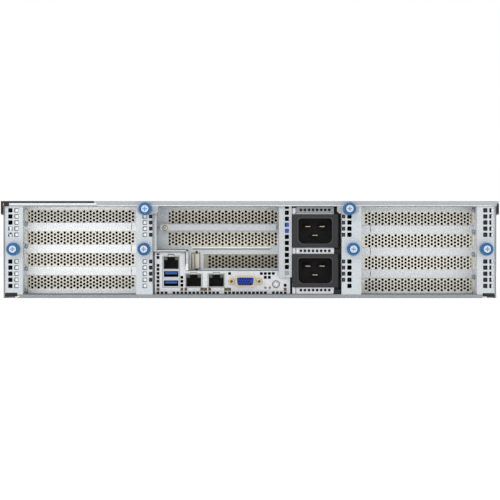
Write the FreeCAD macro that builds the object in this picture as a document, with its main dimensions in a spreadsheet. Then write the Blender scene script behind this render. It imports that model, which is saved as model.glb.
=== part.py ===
import FreeCAD, Part

import math
import os
import re

import Sketcher

# Driving dimensions, in millimetres
# The rear faces -Y, the front +Y, and the underside lies on Z = 0.
SIZES = {
    # Chassis
    "body_width": 444.0,
    "body_height": 87.5,
    "body_depth": 800.0,
    "gauge": 1.2,
    "seat_gap": 0.2,
    "wall_flange": 4.0,
    "lip_height": 3.4,
    "notch_width": 12.3,
    "notch_depth": 14.0,
    "standoff_height": 6.8,
    "standoff_radius": 3.0,
    # Top cover
    "cover_gauge": 1.2,
    "cover_side_gap": 0.8,
    "cover_length": 590.0,
    "cover_skirt": 12.5,
    "cover_hem": 4.7,
    "tab_drop": 11.2,
    "tab_width": 19.4,
    "tab_inset_left": 10.3,
    "tab_inset_right": 12.3,
    "cover_screw_inset_left": 8.5,
    "cover_screw_inset_right": 11.1,
    "cover_screw_height": 80.4,
    "strip_length": 83.6,
    "strip_height": 1.6,
    "strip_gauge": 0.6,
    # Riser cages
    "cage_base": 3.4,
    "cage_headroom": 4.1,
    "cage_length": 325.0,
    "cage_side_gap": 0.3,
    "recess_depth": 22.0,
    "outer_post": 16.0,
    "inner_post_left": 15.0,
    "inner_post_right": 18.0,
    "window_left": 102.0,
    "window_right": 104.0,
    "bridge_width": 24.0,
    "frame_gap": 0.4,
    "frame_step_left": 5.5,
    "frame_step_right": 9.8,
    # Expansion slots
    "slot_pitch": 20.32,
    "slot_height": 12.6,
    "slot_margin": 2.0,
    "blank_height": 18.4,
    "blank_gauge": 0.9,
    "blank_overlap": 2.5,
    "blank_tab": 11.4,
    "vent_radius": 3.3,
    "vent_pitch": 19.0,
    "vent_row_rise": 5.4,
    # Square vents
    "vent_size": 3.7,
    "vent_step": 5.5,
    "outer_vent_inset": 4.7,
    "inner_vent_left": 7.8,
    "inner_vent_right": 10.8,
    "upper_vents": 57.2,
    "lower_vents": 11.1,
    # Thumbscrews
    "knob_radius": 5.8,
    "knob_length": 8.2,
    "core_radius": 3.3,
    "shank_radius": 1.75,
    "shank_reach": 9.0,
    "hole_clearance": 0.55,
    "screw_height": 44.2,
    "outer_screw_inset": 8.0,
    "inner_screw_inset_left": 7.4,
    "inner_screw_inset_right": 7.6,
    # Centre riser bracket
    "centre_left": 86.2,
    "centre_right": 26.1,
    "strip_face": 2.0,
    "strip_width": 10.6,
    "strip_return": 10.0,
    "strip_base": 18.8,
    "centre_base": 24.7,
    "centre_step": 41.8,
    "step_left": 56.7,
    "slots_left": 74.5,
    "short_slot_left": 42.3,
    "tab_window_left": 53.8,
    "tab_window_width": 8.3,
    "tab_window_height": 16.0,
    "clamp_height": 5.6,
    "clamp_left": 81.0,
    "clamp_standoff": 6.0,
    # Port panel
    "port_face": 6.0,
    "port_tray": 16.0,
    "port_panel_right": 36.4,
    "port_panel_top": 24.5,
    "port_tower_right": 57.0,
    "port_tower_top": 41.6,
    "port_vent": 2.3,
    "port_vent_step": 3.58,
    "port_vent_left": 83.4,
    "port_vent_low": 4.2,
    # Sockets
    "board_gauge": 1.6,
    "socket_proud": 0.4,
    "network_width": 15.4,
    "network_height": 12.4,
    "network_length": 18.0,
    "network_wall": 0.6,
    "plug_width": 11.8,
    "plug_height": 7.8,
    "latch_width": 6.2,
    "latch_height": 2.6,
    "plug_depth": 13.0,
    "network_b": 50.9,
    "network_c": 30.4,
    "usb_stack": 71.3,
    "usb_width": 15.4,
    "usb_stack_height": 16.0,
    "usb_opening_width": 13.1,
    "usb_opening_height": 5.2,
    "usb_pitch": 8.4,
    "usb_low": 1.1,
    "usb_tongue": 1.9,
    "video_centre": 4.1,
    "video_height": 15.0,
    "video_width": 18.8,
    "video_tall": 10.6,
    "video_wall": 0.6,
    "video_slant": 1.6,
    "video_proud": 4.0,
    "jack_spacing": 25.0,
    "jack_radius": 2.9,
    "jack_bore": 1.45,
    "locator_x": 23.6,
    "locator_height": 12.4,
    "lamp_x": 14.0,
    "lamp_step": 4.1,
    "lamp_height": 9.3,
    "lamp_radius": 1.1,
    "button_radius": 3.2,
    "button_gap": 0.4,
    "button_travel": 1.2,
    # Power inlets
    "inlet_x": 58.9,
    "inlet_mid": 42.7,
    "inlet_pitch": 35.8,
    "inlet_flange_width": 41.2,
    "inlet_flange_height": 30.4,
    "inlet_flange_gauge": 2.8,
    "inlet_body_width": 34.0,
    "inlet_body_height": 27.0,
    "inlet_depth": 24.0,
    "inlet_mouth_width": 30.0,
    "inlet_mouth_height": 23.0,
    "inlet_mouth_depth": 19.0,
    "mouth_corner": 3.4,
    "pin_width": 6.0,
    "pin_gauge": 2.0,
    "pin_length": 16.0,
    "pin_spacing": 13.0,
    "pin_rise": 4.1,
    "pin_drop": 3.9,
    "inlet_plate_width": 34.2,
    "inlet_plate_face": 3.0,
    "inlet_vent_radius": 1.25,
    "inlet_vent_step": 3.6,
    "supply_width": 40.0,
    "supply_height": 39.0,
    "supply_length": 270.0,
    # Inside
    "board_head_depth": 196.0,
    "board_head_width": 400.0,
    "board_setback": 6.0,
    "board_stem_left": 85.0,
    "board_stem_right": 36.0,
    "heatsink_width": 78.0,
    "heatsink_length": 108.0,
    "heatsink_height": 62.0,
    "heatsink_x": 95.0,
    "fin_gauge": 1.2,
    "heatsink_base": 6.0,
    "module_length": 133.4,
    "module_height": 31.3,
    "module_gauge": 1.4,
    "module_pitch": 9.5,
    "module_first": 12.0,
    "module_outer": 147.0,
    "module_socket": 7.0,
    "riser_card_length": 236.0,
    "riser_card_start": 60.0,
    "slot_connector_depth": 9.0,
    "slot_connector_length": 90.0,
    "slot_connector_height": 7.5,
    # Fans
    "fan_pitch": 84.0,
    "fan_size": 80.0,
    "fan_depth": 38.0,
    "fan_bore": 38.6,
    "fan_start": 548.0,
    "rotor_radius": 36.6,
    "hub_radius": 18.0,
    "hub_length": 28.0,
    "stator_gauge": 4.0,
    "stator_bar": 6.0,
    "axle_radius": 2.5,
    "axle_gap": 0.55,
    "blade_gauge": 1.6,
    "blade_length": 26.0,
    "fan_window": 75.0,
    # Front
    "drive_cage_width": 82.0,
    "drive_cage_depth": 110.0,
    "drive_ledge": 4.0,
    "bay_pitch": 20.0,
    "tray_gap": 0.3,
    "tray_rail": 1.5,
    "tray_floor": 1.0,
    "bezel_depth": 5.0,
    "drive_width": 69.8,
    "drive_length": 100.0,
    "drive_height": 15.0,
    "lever_length": 58.0,
    "lever_height": 8.0,
    "lever_gauge": 3.0,
    "lever_barrel": 2.4,
    "lever_pin": 1.0,
    "front_base": 1.5,
    "grille_slot_width": 8.0,
    "grille_slot_height": 74.0,
    "grille_slot_step": 13.0,
    "grille_slot_foot": 5.5,
    "control_width": 34.0,
    "power_radius": 4.0,
    "power_height": 62.0,
    "ear_reach": 19.3,
    "ear_gauge": 2.5,
    "ear_arm": 60.0,
    "rack_hole_inset": 8.75,
    "rack_hole_rise": 76.2,
    "rack_slot_length": 10.0,
    "rack_slot_radius": 3.4,
    "handle_bar": 7.0,
    "handle_reach": 32.0,
    "handle_span": 54.0,
    "handle_bend": 9.0,
    "handle_inset": 9.0,
    "stud_radius": 2.4,
    "stud_head": 4.0,
    "stud_length": 2.2,
    "stud_head_gauge": 1.0,
    "stud_pitch": 240.0,
}

SLOTS = 4
TRAYS = 4
FANS = 5
FIN_COUNT = 12
MODULES_PER_BANK = 4
BLADES = 7
STUDS_PER_SIDE = 3
VENT_ROWS = 5

# Places that several pieces share
REAR = "(-body_depth / 2)"
FRONT = "(body_depth / 2)"
MIDDLE = "(body_height / 2)"
INNER_HALF = "(body_width / 2 - gauge)"
CAGE_HALF = "(body_width / 2 - gauge - cage_side_gap)"
WALL_TOP = "(body_height - cover_gauge - seat_gap)"
CAGE_TOP = "(body_height - cage_headroom)"
COVER_HALF = "(body_width / 2 + cover_side_gap + cover_gauge)"
EAR_HALF = "(body_width / 2 + ear_reach)"
HEM_FACE = f"({REAR} - seat_gap - cover_gauge)"
COVER_FRONT = f"({REAR} + cover_length)"
SLOT_FACE = f"({REAR} + recess_depth)"
BLANK_FACE = f"({SLOT_FACE} + gauge)"
BOARD_TOP = "(gauge + standoff_height + board_gauge)"
FRAME_FACE = f"({REAR} + gauge + seat_gap)"
PORT_FACE = f"({REAR} + port_face)"
INLET_FACE = f"({REAR} + inlet_plate_face)"
HEAD_START = f"({REAR} + cage_length + 10)"
FAN_Y = f"({REAR} + fan_start)"

DOC = FreeCAD.newDocument("RackServer")
SHEET = DOC.addObject("Spreadsheet::Sheet", "Sizes")
NODES = []


def fill_sheet():
    for row, (name, value) in enumerate(SIZES.items(), start=1):
        SHEET.set(f"A{row}", name)
        SHEET.set(f"B{row}", str(value))
        SHEET.setAlias(f"B{row}", name)
    DOC.recompute()


def formula(text):
    """A size written in words, as an expression that reads the sheet."""
    return re.sub(r"[a-z][a-z_]*", lambda word: "Sizes." + word.group() if word.group() in SIZES
                  else word.group(), str(text))


def bind(thing, name, text):
    thing.setExpression(name, formula(text))


def place(thing, at):
    for axis, text in zip("xyz", at):
        bind(thing, f"Placement.Base.{axis}", text)
    return thing


def sub_part(thing, label):
    thing.Label = label
    NODES.append(thing)
    return thing


# Primitives and booleans

TURNS = {
    "+z": FreeCAD.Rotation(),
    "+x": FreeCAD.Rotation(FreeCAD.Vector(0, 1, 0), 90),
    "-x": FreeCAD.Rotation(FreeCAD.Vector(0, 1, 0), -90),
    "+y": FreeCAD.Rotation(FreeCAD.Vector(1, 0, 0), -90),
    "-y": FreeCAD.Rotation(FreeCAD.Vector(1, 0, 0), 90),
}


def block(name, at, size):
    thing = DOC.addObject("Part::Box", name)
    for side, text in zip(("Length", "Width", "Height"), size):
        bind(thing, side, text)
    return place(thing, at)


def rod(name, at, radius, length, along="+y"):
    thing = DOC.addObject("Part::Cylinder", name)
    thing.Placement = FreeCAD.Placement(FreeCAD.Vector(), TURNS[along])
    bind(thing, "Radius", radius)
    bind(thing, "Height", length)
    return place(thing, at)


def prism(name, sides, at, radius, length, along="+y"):
    thing = DOC.addObject("Part::Prism", name)
    thing.Placement = FreeCAD.Placement(FreeCAD.Vector(), TURNS[along])
    thing.Polygon = sides
    bind(thing, "Circumradius", radius)
    bind(thing, "Height", length)
    return place(thing, at)


def join(name, pieces):
    thing = DOC.addObject("Part::MultiFuse", name)
    thing.Shapes = pieces
    thing.Refine = True
    return thing


def group(name, pieces):
    thing = DOC.addObject("Part::Compound", name)
    thing.Links = pieces
    return thing


def cut(name, base, tools):
    """base less its tools, which may overlap each other."""
    thing = DOC.addObject("Part::Cut", name)
    thing.Base = base
    thing.Tool = tools[0] if len(tools) == 1 else join(name + "_tools", tools)
    return thing


# Sketched bodies

def rectangle(x0, y0, x1, y1):
    return [(x0, y0), (x1, y0), (x1, y1), (x0, y1)]


def polygon(x, y, radius, sides, turn=0.0):
    corners = [math.radians(turn + 360.0 * i / sides) for i in range(sides)]
    return [(f"{x} + {math.cos(a):.6f} * {radius}", f"{y} + {math.sin(a):.6f} * {radius}") for a in corners]


def folded(start, runs, thickness):
    """The closed outline of a bent sheet: runs along the axes, with its thickness on the left of the way."""
    ways = {"+x": (1, 0), "-x": (-1, 0), "+y": (0, 1), "-y": (0, -1)}
    points = [start]
    for way, length in runs:
        x, y = points[-1]
        dx, dy = ways[way]
        points.append((f"{x} + {dx} * ({length})" if dx else x, f"{y} + {dy} * ({length})" if dy else y))
    sides = [(-ways[way][1], ways[way][0]) for way, _ in runs]
    far = []
    for i, (x, y) in enumerate(points):
        before, after = sides[max(i - 1, 0)], sides[min(i, len(sides) - 1)]
        nx, ny = (before if before == after else (before[0] + after[0], before[1] + after[1]))
        far.append((f"{x} + {nx} * {thickness}", f"{y} + {ny} * {thickness}"))
    return points + far[::-1]


class Solid:
    """A PartDesign body whose sketches lie on its own origin planes."""

    NORMAL = {"XY_Plane": 1, "XZ_Plane": -1, "YZ_Plane": 1}

    def __init__(self, name):
        self.name = name
        self.body = DOC.addObject("PartDesign::Body", name)
        self.steps = 0

    def origin(self, role):
        return next(f for f in self.body.Origin.OriginFeatures if f.Role == role)

    def sketch(self, plane, outlines, at="0"):
        self.steps += 1
        sketch = self.body.newObject("Sketcher::SketchObject", f"{self.name}_sketch_{self.steps}")
        sketch.AttachmentSupport = [(self.origin(plane), "")]
        sketch.MapMode = "FlatFace"
        bind(sketch, "AttachmentOffset.Base.z", f"{self.NORMAL[plane]} * ({at})")
        lines, rules, values = [], [], []
        for outline in outlines:
            first, count = len(lines), len(outline)
            for i in range(count):
                ends = [2 * math.pi * i / count, 2 * math.pi * (i + 1) / count]
                lines.append(Part.LineSegment(*[FreeCAD.Vector(math.cos(a), math.sin(a), 0) for a in ends]))
                rules.append(Sketcher.Constraint("Coincident", first + i, 2, first + (i + 1) % count, 1))
            for i, corner in enumerate(outline):
                for kind, text in zip(("DistanceX", "DistanceY"), corner):
                    values.append((len(rules), text))
                    rules.append(Sketcher.Constraint(kind, -1, 1, first + i, 1, 1.0))
        sketch.addGeometry(lines, False)
        sketch.addConstraint(rules)
        for number, text in values:
            bind(sketch, f"Constraints[{number}]", text)
        return sketch

    def feature(self, kind, sketch, toward, reverse):
        thing = self.body.newObject(f"PartDesign::{kind}", f"{self.name}_{kind}_{self.steps}")
        thing.Profile = sketch
        thing.Reversed = reverse
        return thing

    def pad(self, plane, outlines, at, length, toward="+"):
        """Material from the plane at that place, along its axis."""
        sketch = self.sketch(plane, outlines, at)
        thing = self.feature("Pad", sketch, toward, (toward == "+") != (self.NORMAL[plane] > 0))
        bind(thing, "Length", length)
        return thing

    def pocket(self, plane, outlines, at, length, toward="+"):
        sketch = self.sketch(plane, outlines, at)
        thing = self.feature("Pocket", sketch, toward, (toward == "+") == (self.NORMAL[plane] > 0))
        bind(thing, "Length", length)
        return thing

    def repeat(self, original, axis, step, count):
        thing = self.body.newObject("PartDesign::LinearPattern", f"{self.name}_row_{self.steps}")
        thing.Originals = [original]
        thing.Direction = (self.origin(f"{axis}_Axis"), [""])
        thing.Mode = "Spacing"
        bind(thing, "Offset", step)
        thing.Occurrences = count
        self.body.Tip = thing
        return thing

    def round_edges(self, axis, radius, wanted):
        """Fillets the straight edges along an axis whose middle passes the wanted test."""
        DOC.recompute()
        tip = self.body.Tip
        names = []
        for number, edge in enumerate(tip.Shape.Edges, start=1):
            if edge.Curve.TypeId != "Part::GeomLine":
                continue
            if abs(abs(edge.tangentAt(edge.FirstParameter).dot(axis)) - 1) < 1e-6:
                if wanted(edge.CenterOfMass):
                    names.append(f"Edge{number}")
        thing = self.body.newObject("PartDesign::Fillet", f"{self.name}_fillet_{self.steps}")
        thing.Base = (tip, names)
        bind(thing, "Radius", radius)
        return thing


# Chassis shell

def chassis_base():
    """The floor pan with its rear lip, a flanged wall on each side, and the standoffs pressed into the floor."""
    half = "(body_width / 2)"
    pan = Solid("pan")
    pan.pad("XZ_Plane", [rectangle(f"-{half}", "0", half, "gauge")], REAR, "body_depth")
    lip = f"({half} - notch_width)"
    pan.pad("XZ_Plane", [rectangle(f"-{lip}", "gauge", lip, "lip_height")], REAR, "gauge")
    corners = [rectangle(f"{side} * {lip}", REAR, f"{side} * {INNER_HALF}", f"{REAR} + notch_depth")
               for side in (-1, 1)]
    pan.pocket("XY_Plane", corners, "gauge", "gauge", "-")
    pieces = [pan.body]
    for side in (-1, 1):
        wall = Solid("side_wall")
        flange = f"{side} * ({half} - wall_flange)"
        wall.pad("XZ_Plane", [[
            (f"{side} * {half}", "gauge"), (f"{side} * {half}", WALL_TOP), (flange, WALL_TOP),
            (flange, f"{WALL_TOP} - gauge"), (f"{side} * {INNER_HALF}", f"{WALL_TOP} - gauge"),
            (f"{side} * {INNER_HALF}", "gauge"),
        ]], REAR, "body_depth")
        pieces.append(wall.body)
    for x, y in standoff_places():
        pieces.append(prism("standoff", 6, (x, y, "gauge"), "standoff_radius", "standoff_height", "+z"))
    return sub_part(group("chassis_base", pieces), "chassis_base")


def standoff_places():
    stem = [(x, f"{REAR} + {y}") for x in ("-board_stem_left + 8", "board_stem_right - 8")
            for y in ("40", "cage_length - 30")]
    head = [(f"{side} * (board_head_width / 2 - 8)", f"{HEAD_START} + {y}")
            for side in (-1, 1) for y in ("8", "board_head_depth - 8")]
    return stem + head


def cage_x(side, inward):
    """X of a point that lies inward of a riser cage's outer edge."""
    return f"{side} * ({CAGE_HALF} - ({inward}))"


def cage_names(side):
    return ("left" if side < 0 else "right")


def post_x(side, inward):
    """X of a point that lies inward of the outer edge of a cage's inner post."""
    return cage_x(side, f"outer_post + window_{cage_names(side)} + {inward}")


def knob_places():
    """Name, X, Z and seat Y of each thumbscrew."""
    cover = f"({HEM_FACE})"
    return {
        "cover_thumbscrew_left": (post_x(-1, "cover_screw_inset_left"), "cover_screw_height", cover),
        "cover_thumbscrew_right": (post_x(1, "cover_screw_inset_right"), "cover_screw_height", cover),
        "riser_thumbscrew_left_outer": (cage_x(-1, "outer_screw_inset"), "screw_height", REAR),
        "riser_thumbscrew_left_inner": (post_x(-1, "inner_screw_inset_left"), "screw_height", REAR),
        "riser_thumbscrew_right_inner": (post_x(1, "inner_screw_inset_right"), "screw_height", REAR),
        "riser_thumbscrew_right_outer": (cage_x(1, "outer_screw_inset"), "screw_height", REAR),
    }


def screw_holes(name, clearance, length, y, wanted):
    return [prism(f"{name}_hole", 8, (x, y, z), f"shank_radius + {clearance}", length)
            for label, (x, z, _) in knob_places().items() if wanted(label)]


def rear_frame():
    """The upright frame behind the cage posts. Its posts carry the threads of the thumbscrews."""
    frame = Solid("frame")
    top = f"({WALL_TOP} - gauge - seat_gap)"
    edge = f"({INNER_HALF} - seat_gap)"
    notch = "(body_width / 2 - notch_width)"
    frame.pad("XZ_Plane", [[
        (f"-{notch}", "gauge"), (notch, "gauge"), (notch, "cage_base + 1.5"), (edge, "cage_base + 1.5"),
        (edge, top), (f"-{edge}", top), (f"-{edge}", "cage_base + 1.5"), (f"-{notch}", "cage_base + 1.5"),
    ]], FRAME_FACE, "gauge")
    openings = []
    for side in (-1, 1):
        window = "window_" + cage_names(side)
        openings.append(rectangle(cage_x(side, "outer_post - gauge - frame_gap"), "cage_base",
                                  cage_x(side, f"outer_post + {window} + gauge + frame_gap"), CAGE_TOP))
        for low in ("lower_vents", "upper_vents"):
            foot = f"{low} - vent_size / 2 - 1"
            head = f"{low} + {VENT_ROWS - 1} * vent_step + vent_size / 2 + 0.6"
            near = "outer_vent_inset - vent_size / 2 - 0.3"
            far = "outer_vent_inset + vent_size / 2 + 0.6"
            openings.append(rectangle(cage_x(side, near), foot, cage_x(side, far), head))
    left, right = (cage_x(-1, "outer_post + window_left + inner_post_left - frame_step_left"),
                   cage_x(1, "outer_post + window_right + inner_post_right - frame_step_right"))
    left_lug, right_lug = (cage_x(-1, "outer_post + window_left + inner_post_left - gauge - frame_gap"),
                           cage_x(1, "outer_post + window_right + inner_post_right - gauge - frame_gap"))
    lug_foot, lug_head, shelf = "screw_height - 5", "screw_height + 5", "cover_screw_height - 5"
    beam = f"{CAGE_TOP} + frame_gap"
    openings.append([
        (left, "cage_base"), (right, "cage_base"), (right, lug_foot), (right_lug, lug_foot), (right_lug, lug_head),
        (right, lug_head), (right, shelf), (right_lug, shelf), (right_lug, beam), (left_lug, beam),
        (left_lug, shelf), (left, shelf), (left, lug_head), (left_lug, lug_head), (left_lug, lug_foot),
        (left, lug_foot),
    ])
    frame.pocket("XZ_Plane", openings, FRAME_FACE, "gauge")
    holes = screw_holes("frame", "hole_clearance", "3 * gauge", f"{FRAME_FACE} - gauge", lambda label: True)
    return sub_part(cut("rear_frame", frame.body, holes), "rear_frame")


# Riser cages

def slot_height_of(index):
    """Z of a slot's middle, counted from the top."""
    return f"({MIDDLE} + {(SLOTS - 1) / 2 - index} * slot_pitch)"


def vent_square(side, inset, height):
    """A vent's outline about its middle, which lies inward of a cage's outer edge."""
    return rectangle(cage_x(side, f"{inset} - vent_size / 2"), f"{height} - vent_size / 2",
                     cage_x(side, f"{inset} + vent_size / 2"), f"{height} + vent_size / 2")


def riser_cage(side):
    """A folded sheet: outer post, recess with its slot wall, inner post and the long wall for the riser card."""
    name = cage_names(side)
    window, inner_post = f"window_{name}", f"inner_post_{name}"
    cage = Solid(f"cage_{name}")
    plan = folded(("0", REAR), [
        ("+x", "outer_post"), ("+y", "recess_depth"), ("+x", window), ("-y", "recess_depth"),
        ("+x", inner_post), ("+y", "cage_length")], "gauge")
    outline = [(cage_x(side, u), y) for u, y in plan]
    cage.pad("XY_Plane", [outline], "cage_base", f"{CAGE_TOP} - cage_base")
    far = f"outer_post + {window} + {inner_post}"
    cage.pad("XY_Plane", [rectangle(cage_x(side, "cage_side_gap"), f"{REAR} + cage_length - bridge_width",
                                    cage_x(side, f"{far} - gauge / 2"), f"{REAR} + cage_length")],
             f"{CAGE_TOP} - gauge", "gauge")
    cage.pocket("XZ_Plane", [rectangle(cage_x(side, "outer_post"), f"{slot_height_of(SLOTS - 1)} - slot_height / 2",
                                       cage_x(side, f"outer_post + {window} - slot_margin"),
                                       f"{slot_height_of(SLOTS - 1)} + slot_height / 2")],
                f"{SLOT_FACE} - gauge", "3 * gauge")
    cage.repeat(cage.body.Tip, "Z", "slot_pitch", SLOTS)
    inner = f"outer_post + {window} + inner_vent_{name}"
    cage.pocket("XZ_Plane", [vent_square(side, inner, "lower_vents")], f"{REAR} - gauge", "2 * gauge")
    vents = [vent_square(side, f"{inset} + {step} * vent_step", foot)
             for inset, foot in ((inner, "lower_vents + vent_step"), (inner, "upper_vents")) for step in (0, 1)]
    cage.repeat(cage.pocket("XZ_Plane", vents, f"{REAR} - gauge", "2 * gauge"), "Z", "vent_step", VENT_ROWS - 1)
    vents = [vent_square(side, f"outer_vent_inset + {step} * vent_step", foot)
             for foot in ("lower_vents", "upper_vents") for step in (0, 1)]
    cage.repeat(cage.pocket("XZ_Plane", vents, f"{REAR} - gauge", "2 * gauge"), "Z", "vent_step", VENT_ROWS)
    hand = "_left" if side < 0 else "_right"
    holes = screw_holes(f"cage_{name}", "hole_clearance", "3 * gauge", f"{REAR} - gauge",
                        lambda label: hand in label)
    for index in range(SLOTS):
        holes.append(prism("tab_screw_hole", 6, tab_screw_place(side, index), "1.7", "2 * gauge + 1",
                           "+x" if side > 0 else "-x"))
    return sub_part(cut(f"riser_cage_{name}", cage.body, holes), f"riser_cage_{name}")


def tab_screw_place(side, index):
    return (cage_x(side, "outer_post + blank_gauge + seat_gap"), f"{SLOT_FACE} - 6",
            f"{slot_height_of(index)} - slot_height / 2 - 1.6")


def slot_blank(name, face, x_outer, x_inner, z, tab_side):
    """A blank cover: a vented face behind the slot wall, and a screw tab bent out through the slot."""
    blank = Solid(name)
    blank.pad("XZ_Plane", [rectangle(x_outer, f"{z} - blank_height / 2", x_inner, f"{z} + blank_height / 2")],
              face, "blank_gauge")
    if tab_side:
        blank.pad("XZ_Plane", [rectangle(x_outer, f"{z} - slot_height / 2 + seat_gap",
                                         f"{x_outer} - {tab_side} * blank_gauge",
                                         f"{z} + slot_height / 2 - seat_gap")],
                  face, "blank_tab + gauge", "-")
    return blank


def vent_blank(blank, first_x, z, count):
    """Two staggered rows of six-sided vents, from the left."""
    for row, (sign, shift, fewer) in enumerate(((1, "0", 0), (-1, "vent_pitch / 2", 1))):
        x = f"({first_x} + {shift})"
        height = f"({z} + {sign} * vent_row_rise / 2)"
        hole = blank.pocket("XZ_Plane", [polygon(x, height, "vent_radius", 6)], f"{BLANK_FACE} - 1",
                            "blank_gauge + 2")
        blank.repeat(hole, "X", "vent_pitch", count - fewer)
    return blank.body


def cage_slot_covers(side):
    name = cage_names(side)
    window = f"window_{name}"
    covers = []
    for index in range(SLOTS):
        outer = cage_x(side, "outer_post + seat_gap")
        inner = cage_x(side, f"outer_post + {window} + blank_overlap")
        blank = slot_blank(f"blank_{name}_{index}", BLANK_FACE, outer, inner, slot_height_of(index), side)
        left = outer if side < 0 else inner
        covers.append(vent_blank(blank, f"{left} + 13", slot_height_of(index), 5))
    return sub_part(group(f"slot_covers_{name}", covers), f"slot_covers_{name}")


def slot_cover_screws():
    screws = []
    for side in (-1, 1):
        way = "+x" if side > 0 else "-x"
        for index in range(SLOTS):
            x, y, z = tab_screw_place(side, index)
            head = prism("screw_head", 6, (f"{x} - {side} * 1.8", y, z), "2.2", "1.8", way)
            shank = prism("screw_shank", 5, (x, y, z), "1.5", "blank_gauge + gauge + 2", way)
            screws.append(join("tab_screw", [head, shank]))
    head = prism("clamp_head", 12, (clamp_screw_x(), f"{SLOT_FACE} - clamp_standoff - gauge", clamp_mid()), "2.5",
                 "1.8", "-y")
    shank = prism("clamp_shank", 6, (clamp_screw_x(), f"{SLOT_FACE} - clamp_standoff - gauge", clamp_mid()),
                  "1.5", "clamp_standoff + gauge + 1.2")
    screws.append(join("clamp_screw", [head, shank]))
    return sub_part(group("slot_cover_screws", screws), "slot_cover_screws")


# Centre riser

def centre_bracket():
    centre = Solid("centre")
    outline = folded(("-centre_left", f"{REAR} + strip_face + gauge"), [
        ("+y", "recess_depth - strip_face"), ("+x", "centre_left + centre_right"),
        ("-y", "recess_depth - strip_face"), ("+x", "strip_width"), ("+y", "strip_return")],
        "-gauge")
    centre.pad("XY_Plane", [outline], "strip_base", f"{CAGE_TOP} - strip_base")
    below = f"{REAR} - 1"
    deep = "recess_depth + 3 * gauge"
    centre.pocket("XZ_Plane", [[
        ("-centre_left - 1", "strip_base - 1"), ("centre_right", "strip_base - 1"),
        ("centre_right", "centre_base"), ("-step_left", "centre_base"),
        ("-step_left", "centre_step"), ("-centre_left - 1", "centre_step"),
    ]], below, deep)
    slots = []
    right = "centre_right - slot_margin"
    for index, left in ((0, "-slots_left"), (1, "-slots_left"), (2, "-short_slot_left")):
        z = slot_height_of(index)
        slots.append(rectangle(left, f"{z} - slot_height / 2", right, f"{z} + slot_height / 2"))
    z = slot_height_of(2)
    slots.append(rectangle("-tab_window_left", f"{z} - tab_window_height / 2",
                           "-tab_window_left + tab_window_width", f"{z} + tab_window_height / 2"))
    centre.pocket("XZ_Plane", slots, f"{SLOT_FACE} - gauge", "4 * gauge")
    vent_x = "centre_right + strip_width / 2 + 1.4"
    vent = centre.pocket("XZ_Plane", [rectangle(
        f"{vent_x} - vent_size / 2", "strip_base + 2.2", f"{vent_x} + vent_size / 2",
        "strip_base + 2.2 + vent_size")], f"{REAR} + strip_face - 1", "gauge + 2")
    centre.repeat(vent, "Z", "vent_step", 11)
    hole = prism("clamp_hole", 6, (clamp_screw_x(), f"{SLOT_FACE} - gauge", clamp_mid()), "1.7", "3 * gauge")
    return sub_part(cut("centre_riser_bracket", centre.body, [hole]), "centre_riser_bracket")


def clamp_mid():
    return f"(({slot_height_of(0)} + {slot_height_of(1)}) / 2)"


def clamp_screw_x():
    return "(-clamp_left + 3.5)"


def slot_clamp_bar():
    """A channel that holds the two upper blanks: a raised bar with a foot at each end."""
    bar = Solid("clamp")
    right = "centre_right - slot_margin - gauge"
    outline = folded(("-clamp_left", SLOT_FACE), [
        ("-y", "clamp_standoff"), ("+x", f"clamp_left + {right}"), ("+y", "clamp_standoff")], "-gauge")
    bar.pad("XY_Plane", [outline], f"{clamp_mid()} - clamp_height / 2", "clamp_height")
    hole = prism("bar_hole", 6, (clamp_screw_x(), f"{SLOT_FACE} - 3 * clamp_standoff", clamp_mid()), "1.7",
                 "4 * clamp_standoff")
    return sub_part(cut("slot_clamp_bar", bar.body, [hole]), "slot_clamp_bar")


def centre_slot_covers():
    covers = []
    for index, left, count in ((0, "slots_left", 5), (1, "slots_left", 5), (2, "tab_window_left", 3)):
        z = slot_height_of(index)
        blank = slot_blank(f"blank_centre_{index}", BLANK_FACE, f"-{left} - blank_overlap",
                           "centre_right + gauge", z, 0)
        first = "-slots_left + 8" if index < 2 else "-short_slot_left + 5"
        covers.append(vent_blank(blank, first, z, count))
    return sub_part(group("slot_covers_centre", covers), "slot_covers_centre")


# Port panel and sockets

# Column, row, columns and rows of each run of square vents, on one grid from the panel's lower left
PORT_VENTS = [(0, 0, 3, 1), (4, 0, 12, 1), (17, 0, 11, 1), (29, 0, 4, 1), (0, 1, 1, 7), (0, 9, 1, 2),
              (6, 1, 2, 1), (6, 2, 1, 3), (11, 1, 3, 1), (17, 1, 2, 1), (32, 1, 1, 2), (18, 5, 1, 1),
              (26, 5, 4, 1), (27, 4, 2, 1)]


def network_places():
    """X and foot Z of each network socket."""
    return [("-usb_stack", f"{BOARD_TOP} + usb_stack_height"), ("-network_b", BOARD_TOP),
            ("-network_c", BOARD_TOP)]


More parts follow.
